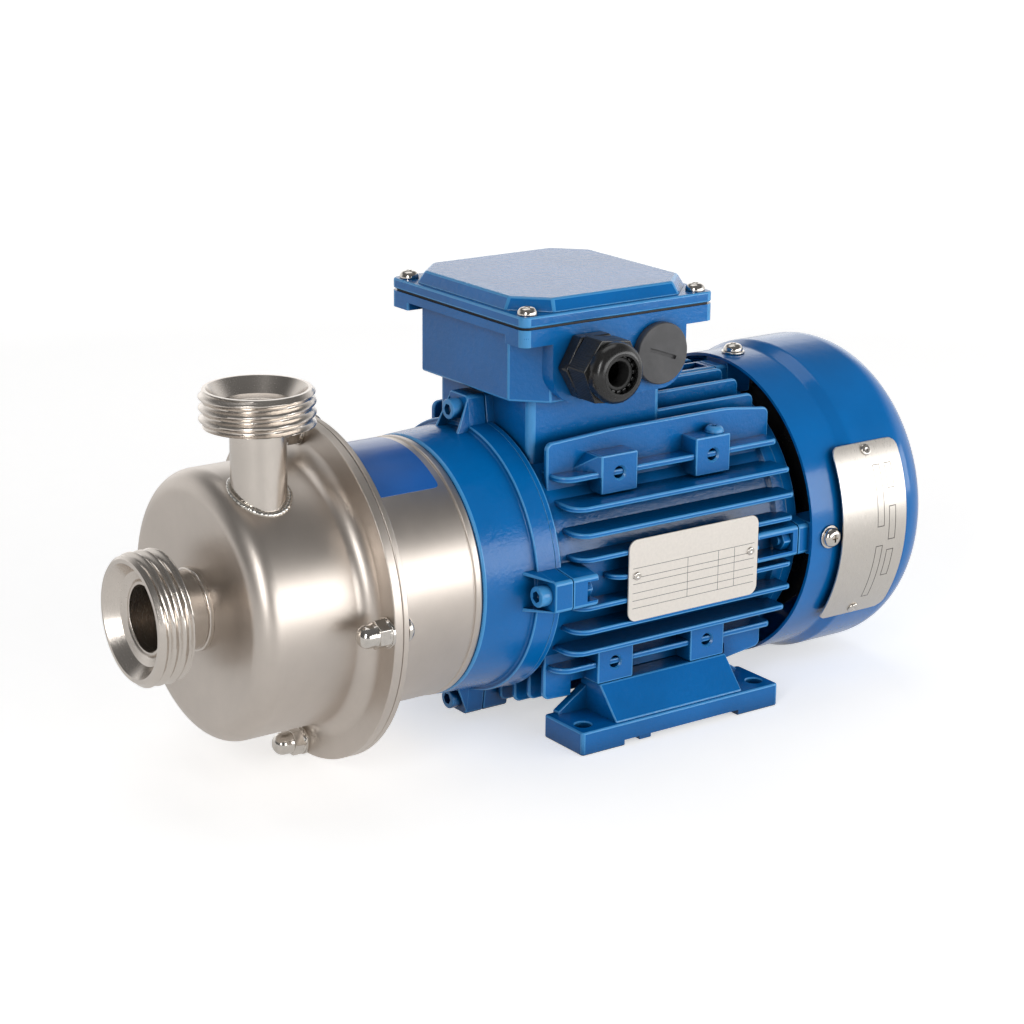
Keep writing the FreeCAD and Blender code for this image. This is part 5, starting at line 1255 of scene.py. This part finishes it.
def build_fan_cover():
    """Pressed cover with rows of curved slots in its end."""
    wall = 1.3
    steps = 360
    grille = [(11.0 + 10.5 * row, 16.0 + 10.5 * row, 6 + 2 * row) for row in range(4)]
    stations = [radius for low, high, _ in reversed(grille) for radius in (high, low)] + [0.0]
    shell = bmesh.new()

    def walls(inset):
        outline = rounded(cover_outline(inset) + [(COVER_REAR - inset, 0.0)], 5.0)[:-1]
        outline += [(COVER_REAR - inset, radius) for radius in stations]
        return outline, turned_rings(shell, outline, steps)

    def in_slot(high, low, step):
        for slot_low, slot_high, count in grille:
            if abs(high - slot_high) < 1e-3 and abs(low - slot_low) < 1e-3:
                half_web = math.degrees(GRILLE_WEB / (slot_low + slot_high))
                place = (step + 0.5) * 360 / steps
                pitch = 360 / count
                return abs((place + pitch / 2) % pitch - pitch / 2) > half_web
        return False

    (outer, outside), (inner, inside) = walls(0.0), walls(wall)
    for path, made in ((outer, outside), (inner, inside)):
        for index in range(len(path) - 1):
            high, low = path[index][1], path[index + 1][1]
            skin(shell, made[index], made[index + 1], lambda step: in_slot(high, low, step))
    skin(shell, outside[0], inside[0])
    twin = {}
    for a_ring, b_ring in zip(outside, inside):
        for a, b in zip(a_ring, b_ring):
            twin[a] = b
    rims = [edge for edge in shell.edges
            if len(edge.link_faces) == 1 and edge.verts[0] in twin and edge.verts[1] in twin]
    for edge in rims:
        a, b = edge.verts
        shell.faces.new((a, b, twin[b], twin[a]))
    bmesh.ops.recalc_face_normals(shell, faces=shell.faces)
    piece("fan_cover_pressed", [shell], "blue_cover_paint", ["fan_cover"])


def build_cover_fasteners():
    screw = [shifted(shell, x=0.9) for shell in pan_head(4.2, 3.0, 2.0, 7.5)]
    washer = tube(0, 0.9, 2, 5.0, 48, 0.3)
    screws = all_around([raised(shell, COVER_SCREW_X, 0, COVER_NECK + 0.05) for shell in screw + [washer]])
    piece("cover_screws_pan", screws, "fastener_steel", ["cover_screws"])


def plate_point(u, v, radius):
    """Point on the fan cover's barrel: u along the shaft, v up the -Y side."""
    angle = math.asin(v / radius)
    return u, -radius * math.cos(angle), radius * math.sin(angle)


def build_cover_plate():
    plate = sheet(COVER_PLATE_SPAN, (-41.0, 36.0), (68.63, COVER_PLATE_TOP), (12, 48), 4.0, plate_point)
    piece("cover_plate_curved", [plate], "plate_steel", ["cover_plate"], finish="cover_plate")
    rivets = []
    for level in (33.0, -38.0):
        x, y, z = plate_point(sum(COVER_PLATE_SPAN) / 2, level, COVER_PLATE_TOP)
        cap = knob(0, 1.0, 2.6, 0.2, 0.8, 40, 8.0)
        dimple = revolve([(0.55, 0), (1.5, 0), (1.5, 1.0), (0.9, 0.85)], 24)
        rivets.append(aimed(carved(cap, [dimple]), x, y, z, Vector((0, y, z)).normalized()))
    piece("cover_plate_rivets_round", rivets, "plate_steel", ["cover_plate_rivets"], finish="fastener_steel")


def build_nameplate():
    outline = rectangle(NAMEPLATE_X, NAMEPLATE_LEVEL, 67.0, 34.2, 4.0)
    plate = prism(outline, NAMEPLATE_FACE, -62.02, "xz", 0.15)
    piece("nameplate_flat", [plate], "plate_cream", ["nameplate"])
    rivets = []
    for x in (NAMEPLATE_X - 29.5, NAMEPLATE_X + 29.5):
        cap = knob(0, 0.8, 1.8, 0.15, 0.65, 32, 8.0)
        dimple = revolve([(0.4, 0), (1.4, 0), (1.4, 0.75), (0.7, 0.6)], 20)
        rivets.append(aimed(carved(cap, [dimple]), x, NAMEPLATE_FACE, 0, (0, -1, 0)))
    piece("nameplate_rivets_round", rivets, "plate_steel", ["nameplate_rivets"], finish="fastener_steel")


# Terminal box

def rim_outline():
    return rectangle(BOX_X, 0, 2 * RIM_HALF, 2 * RIM_HALF, 3.5)


def build_terminal_box():
    tub = prism(cut_square(BOX_X, BOX_HALF, 12.0), BOX_FLOOR, RIM_TOP - 1.0, "xy", 1.0, 3)
    hollow = prism(cut_square(BOX_X, 39.5, 10.2), BOX_FLOOR + 3.0, RIM_TOP + 2, "xy")
    rim = prism(rim_outline(), RIM_TOP - 3.5, RIM_TOP, "xy")
    left, right = BOX_X - PAD_HALF, BOX_X + PAD_HALF
    low, high = BOX_FLOOR + 0.2, RIM_TOP - 2.0
    pad_outline = rounded([(left, low, 12.0), (right, low, 12.0), (right, high), (left, high)])
    pad = prism(pad_outline, PAD_FACE, -39.0, "xz")
    entries = [aimed(rod(-2, 20, 10.0), x, PAD_FACE - 1, ENTRY_LEVEL, (0, 1, 0)) for x in (GLAND_X, PLUG_X)]
    lugs = []
    for along in (-1, 1):
        for across in (-1, 1):
            x = BOX_X + along * (RIM_HALF - 8.0)
            y = across * (RIM_HALF - 6.5)
            lug = prism(rectangle(x, y, 16.0, 13.0, 1.0), RIM_TOP - 6.8, RIM_TOP - 1.5, "xy")
            lugs.append(carved(lug, [prism(rim_outline(), RIM_TOP - 10, RIM_TOP + 1, "xy")], "INTERSECT"))
    rim = soften(carved(rim, lugs + [pad], "UNION"), 0.7, 3)
    tub = carved(tub, [hollow] + entries)
    rim = carved(rim, [hollow] + entries)
    piece("terminal_box_cast", [tub, rim], "blue_paint", ["terminal_box"])


def lofted(half_low, half_high, cut, low, high, edge):
    """Cut-corner block leaning in evenly towards its top."""
    lower = cut_square(BOX_X, half_low, cut + (half_low - half_high) * 0.6, 2.0)
    upper = cut_square(BOX_X, half_high, cut, 2.0)
    return soften(between([(u, v, low) for u, v in lower], [(u, v, high) for u, v in upper]), edge, 3)


def build_terminal_box_lid():
    plate = prism(rim_outline(), LID_LOW, LID_LOW + LID_PLATE, "xy", 0.8, 3)
    crown = lofted(44.8, 41.6, 12.0, LID_LOW + 4.0, LID_LOW + 9.3, 0.9)
    piece("terminal_box_lid_cast", [plate, crown], "blue_paint", ["terminal_box_lid"])


def build_lid_fasteners():
    screws = []
    for along in (-LID_SCREW, LID_SCREW):
        for across in (-LID_SCREW, LID_SCREW):
            for shell in pan_head(4.0, 2.95, 2.0, 9.0):
                screws.append(raised(shell, BOX_X + along, across, LID_LOW + LID_PLATE))
    piece("lid_screws_pan", screws, "fastener_steel", ["lid_screws"])


def outward(shell, x):
    return aimed(shell, x, PAD_FACE, ENTRY_LEVEL, (0, -1, 0))


def build_gland():
    collar = soften(prism(hexagon(GLAND_FLATS), 0.0, 6.0, "yz"), 0.8, 3)
    neck = tube(5, 14.0, GLAND_BORE, 9.0)
    shank = tube(-10, 1, GLAND_BORE, ENTRY_RADIUS)
    body = [outward(shell, GLAND_X) for shell in (carved(collar, [rod(-12, 20, GLAND_BORE)]), neck, shank)]
    piece("gland_body_moulded", body, "black_plastic", ["gland_body"])

    start, hex_end, end = 6.3, 17.0, 23.3
    hexes = soften(prism(hexagon(GLAND_FLATS, -6.5), start, hex_end, "yz"), 0.5, 2)
    dome = revolve(rounded([
        (hex_end - 1.5, 9.1), (hex_end - 1.5, 12.15), (hex_end + 0.8, 12.15, 0.3), (end, 11.9, 4.6),
        (end, 8.0, 0.5), (end - 1.5, 7.7, 0.3), (end - 1.6, 9.1)], 7.0), 96)
    hollow = rod(start - 2, hex_end + 3, 9.05, 64)
    shells = [outward(carved(hexes, [hollow]), GLAND_X), outward(dome, GLAND_X)]
    for step in range(16):
        tooth = box_shell(end - 5.5, end - 2.2, -0.85, 0.85, 6.5, 8.4, 0.3)
        shells.append(outward(turned(tooth, 360 * step / 16), GLAND_X))
    piece("gland_cap_nut_moulded", shells, "black_plastic", ["gland_cap_nut"], finish="gland_grip")
    outline = rounded([(14.05, 5.0), (14.05, 8.95), (18.0, 8.95), (20.8, 6.3, 0.4), (20.8, 5.0, 0.5)])
    piece("gland_seal_ring", [outward(revolve(outline, 64), GLAND_X)], "black_rubber", ["gland_seal"])


def build_blanking_plug():
    disc = revolve(rounded([(0, 0), (0, 12.4, 0.3), (2.7, 12.6, 0.3), (3.5, 12.3, 0.5), (3.5, 0)]), 96)
    slot = turned(box_shell(2.3, 4.5, -0.8, 0.8, -7.0, 7.0), 70)
    head = carved(disc, [slot])
    shells = [outward(shell, PLUG_X) for shell in (head, tube(-9, 0.5, 7.5, ENTRY_RADIUS))]
    piece("blanking_plug_moulded", shells, "grey_plastic", ["blanking_plug"])


def build_inner_parts():
    """Carried-over solids get their finishes."""
    slots = {entry["node"]: entry["material_slot"] for entry in frame["record"]["subparts"]}
    for name, node in frame["nodes"].items():
        node.data.materials.clear()
        node.data.materials.append(material(slots[name]))


# Stage

def build_floor(settings):
    floor_mesh = bpy.data.meshes.new("floor")
    corners = ((-1, -1), (1, -1), (1, 1), (-1, 1))
    floor_mesh.from_pydata([(x * FLOOR_HALF, y * FLOOR_HALF, 0) for x, y in corners], [], [(0, 1, 2, 3)])
    floor = linked("floor", floor_mesh)
    recipe = Recipe("floor")
    grain = recipe.noise(recipe.place(), 60.0, 3.0)
    tint = recipe.mix(grain, colour(0.86, 0.855, 0.85), colour(0.90, 0.895, 0.89))
    tint = recipe.mix(recipe.ray("Is Glossy Ray"), tint, colour(0.55, 0.545, 0.54))
    x, y, _ = recipe.parts(recipe.place())
    away = (x * x + y * y).root()
    seen = (recipe.ray("Is Camera Ray") + recipe.ray("Is Glossy Ray") * 0.75).clamped()
    level = recipe.ramp(away, 0.7, 2.2) * 0.6 + settings.floor_glow
    glow = recipe.mix((seen * level).clamped(), colour(0, 0, 0), colour(1, 1, 1))
    recipe.finish({"Base Color": tint, "Roughness": 0.9 + grain * 0.05, "Emission Color": glow},
                  {"Specular IOR Level": 0.0, "Emission Strength": 1.0})
    recipe.material.cycles.emission_sampling = "NONE"
    floor.data.materials.append(recipe.material)


def build_world(settings):
    """Lit backdrop behind the object, dim light from everywhere else."""
    world = bpy.data.worlds.new("studio")
    bpy.context.scene.world = world
    recipe = Recipe("studio", world)
    x, y, z = recipe.parts(recipe.place("Generated"))
    behind = recipe.ramp(x * 0.58 + y * 0.815, -0.15, 0.35) * (1.0 - recipe.ramp(z, 0.36, 0.62))
    white = colour(1, 1, 1)
    ceiling = recipe.shade(z, 0.5, 0.95, white, settings.world_light, settings.world_light * 1.6)
    studio = recipe.mix(behind, ceiling, white)
    studio = recipe.mix(recipe.ray("Is Camera Ray"), studio, white)
    recipe.finish({"Color": studio}, {"Strength": 1.0})


def build_lamps(settings):
    lamps = (
        ("key", (0.85, -1.60, 0.40), 2.8, 0.76, settings.key),
        ("overhead", (0.1, 0.5, 1.7), 1.2, 1.0, settings.overhead),
        ("side", (-1.35, -0.95, 0.70), 0.35, 1.0, settings.side),
        ("backdrop", (0.95, 1.75, 0.55), 2.6, 0.9, settings.backdrop),
    )
    target = Vector((-0.03, 0, 0.08))
    for name, place, width, height, power in lamps:
        lamp = bpy.data.lights.new(name, "AREA")
        lamp.shape = "RECTANGLE"
        lamp.size = width
        lamp.size_y = height
        lamp.energy = power
        obj = linked(name, lamp)
        obj.location = place
        obj.rotation_euler = (target - Vector(place)).to_track_quat("-Z", "Y").to_euler()


def build_camera():
    """Camera that sees the object as the photograph does."""
    azimuth, elevation, roll = (math.radians(angle) for angle in CAMERA_ANGLES)
    away = Vector((math.sin(azimuth) * math.cos(elevation), -math.cos(azimuth) * math.cos(elevation),
                   math.sin(elevation)))
    ahead = -away
    right = ahead.cross(Vector((0, 0, 1))).normalized()
    up = right.cross(ahead)
    right_rolled = math.cos(roll) * right + math.sin(roll) * up
    up_rolled = -math.sin(roll) * right + math.cos(roll) * up
    matrix = Matrix((right_rolled, up_rolled, away)).transposed().to_4x4()
    matrix.translation = Vector(CAMERA_TARGET) * MM + away * (CAMERA_DISTANCE * MM)
    camera = linked("camera", bpy.data.cameras.new("camera"))
    camera.matrix_world = matrix
    camera.data.sensor_width = SENSOR
    camera.data.lens = FOCUS_PIXELS * SENSOR / PHOTO_PIXELS
    camera.data.clip_start = 0.01
    bpy.context.scene.camera = camera


def build_stage():
    scene = bpy.context.scene
    build_floor(scene.pump_stage)
    build_world(scene.pump_stage)
    build_lamps(scene.pump_stage)
    build_camera()
    scene.view_settings.view_transform = "Standard"


# Settings, operators and panel

class PumpPaint(bpy.types.PropertyGroup):
    colour: bpy.props.FloatVectorProperty(
        name="Paint colour", description="Colour of the motor's gloss paint", subtype="COLOR", size=3,
        default=(0.0010, 0.150, 0.465), min=0.0, max=1.0)
    coat: bpy.props.FloatProperty(
        name="Gloss coat", description="Weight of the clear gloss over the paint", subtype="FACTOR",
        default=0.12, min=0.0, max=1.0)


class PumpThreads(bpy.types.PropertyGroup):
    pitch: bpy.props.FloatProperty(
        name="Thread pitch", description="Pitch of the round threads on both unions", unit="LENGTH",
        default=4.233 * MM, min=0.001)
    depth: bpy.props.FloatProperty(
        name="Thread depth", description="Depth of the round threads on both unions", unit="LENGTH",
        default=1.8 * MM, min=0.0002)


class PumpStage(bpy.types.PropertyGroup):
    key: bpy.props.FloatProperty(
        name="Key lamp", description="Power of the large soft lamp in front", unit="POWER", default=25.0)
    overhead: bpy.props.FloatProperty(
        name="Overhead lamp", description="Power of the large soft lamp above", unit="POWER", default=4.5)
    side: bpy.props.FloatProperty(
        name="Side lamp", description="Power of the soft lamp at the suction end", unit="POWER", default=9.0)
    backdrop: bpy.props.FloatProperty(
        name="Backdrop lamp", description="Power of the lit backdrop behind", unit="POWER", default=3.2)
    world_light: bpy.props.FloatProperty(
        name="World light", description="Light from all sides", subtype="FACTOR", default=0.12)
    floor_glow: bpy.props.FloatProperty(
        name="Floor glow", description="Light added to the floor", subtype="FACTOR", default=0.53)


class PUMP_OT_unions(bpy.types.Operator):
    """Threaded suction and discharge unions with their welds"""
    bl_idname = "pump.unions"
    bl_label = "Unions"

    def execute(self, context):
        build_suction_union()
        build_discharge_union()
        return {"FINISHED"}


class PUMP_OT_casing(bpy.types.Operator):
    """Pressed casing and the fasteners of its flange"""
    bl_idname = "pump.casing"
    bl_label = "Casing"

    def execute(self, context):
        build_casing()
        build_flange_fasteners()
        return {"FINISHED"}


class PUMP_OT_lantern(bpy.types.Operator):
    """Spun lantern with its label"""
    bl_idname = "pump.lantern"
    bl_label = "Lantern"

    def execute(self, context):
        build_lantern()
        return {"FINISHED"}


class PUMP_OT_motor_castings(bpy.types.Operator):
    """Endshields, finned frame, feet and tie screws"""
    bl_idname = "pump.motor_castings"
    bl_label = "Motor castings"

    def execute(self, context):
        build_drive_endshield()
        build_stator_frame()
        build_rear_endshield()
        build_tie_fasteners()
        build_feet()
        build_earth_screw()
        return {"FINISHED"}


class PUMP_OT_fan_cover(bpy.types.Operator):
    """Fan cover with its grille, screws and plate"""
    bl_idname = "pump.fan_cover"
    bl_label = "Fan cover"

    def execute(self, context):
        build_fan_cover()
        build_cover_fasteners()
        build_cover_plate()
        return {"FINISHED"}


class PUMP_OT_nameplate(bpy.types.Operator):
    """Nameplate with its rivets"""
    bl_idname = "pump.nameplate"
    bl_label = "Nameplate"

    def execute(self, context):
        build_nameplate()
        return {"FINISHED"}


class PUMP_OT_terminal_box(bpy.types.Operator):
    """Terminal box with its lid, screws, gland and plug"""
    bl_idname = "pump.terminal_box"
    bl_label = "Terminal box"

    def execute(self, context):
        build_terminal_box()
        build_terminal_box_lid()
        build_lid_fasteners()
        build_gland()
        build_blanking_plug()
        return {"FINISHED"}


class PUMP_OT_inner_parts(bpy.types.Operator):
    """Finishes of the solids that are carried over"""
    bl_idname = "pump.inner_parts"
    bl_label = "Inner parts"

    def execute(self, context):
        build_inner_parts()
        return {"FINISHED"}


class PUMP_OT_stage(bpy.types.Operator):
    """Floor, studio light and camera"""
    bl_idname = "pump.stage"
    bl_label = "Stage"

    def execute(self, context):
        build_stage()
        return {"FINISHED"}


GROUPS = {"pump_paint": PumpPaint, "pump_threads": PumpThreads, "pump_stage": PumpStage}
OPERATORS = (PUMP_OT_inner_parts, PUMP_OT_unions, PUMP_OT_casing, PUMP_OT_lantern, PUMP_OT_motor_castings,
             PUMP_OT_fan_cover, PUMP_OT_nameplate, PUMP_OT_terminal_box, PUMP_OT_stage)


class PUMP_PT_panel(bpy.types.Panel):
    """Lists the pump's pieces and settings"""
    bl_label = "Pump"
    bl_idname = "PUMP_PT_panel"
    bl_space_type = "VIEW_3D"
    bl_region_type = "UI"
    bl_category = "Pump"

    def draw(self, context):
        for group in GROUPS:
            settings = getattr(context.scene, group)
            for name in settings.bl_rna.properties.keys():
                if name not in ("rna_type", "name"):
                    self.layout.prop(settings, name)
        for operator in OPERATORS:
            self.layout.operator(operator.bl_idname)


CLASSES = tuple(GROUPS.values()) + OPERATORS + (PUMP_PT_panel,)


def register():
    for entry in CLASSES:
        bpy.utils.register_class(entry)
    for name, group in GROUPS.items():
        setattr(bpy.types.Scene, name, bpy.props.PointerProperty(type=group))


def unregister():
    for name in GROUPS:
        delattr(bpy.types.Scene, name)
    for entry in reversed(CLASSES):
        bpy.utils.unregister_class(entry)


def main():
    register()
    bpy.ops.pump.inner_parts()
    bpy.ops.pump.unions()
    bpy.ops.pump.casing()
    bpy.ops.pump.lantern()
    bpy.ops.pump.motor_castings()
    bpy.ops.pump.fan_cover()
    bpy.ops.pump.nameplate()
    bpy.ops.pump.terminal_box()
    bpy.ops.pump.stage()


if __name__ == "__main__":
    main()
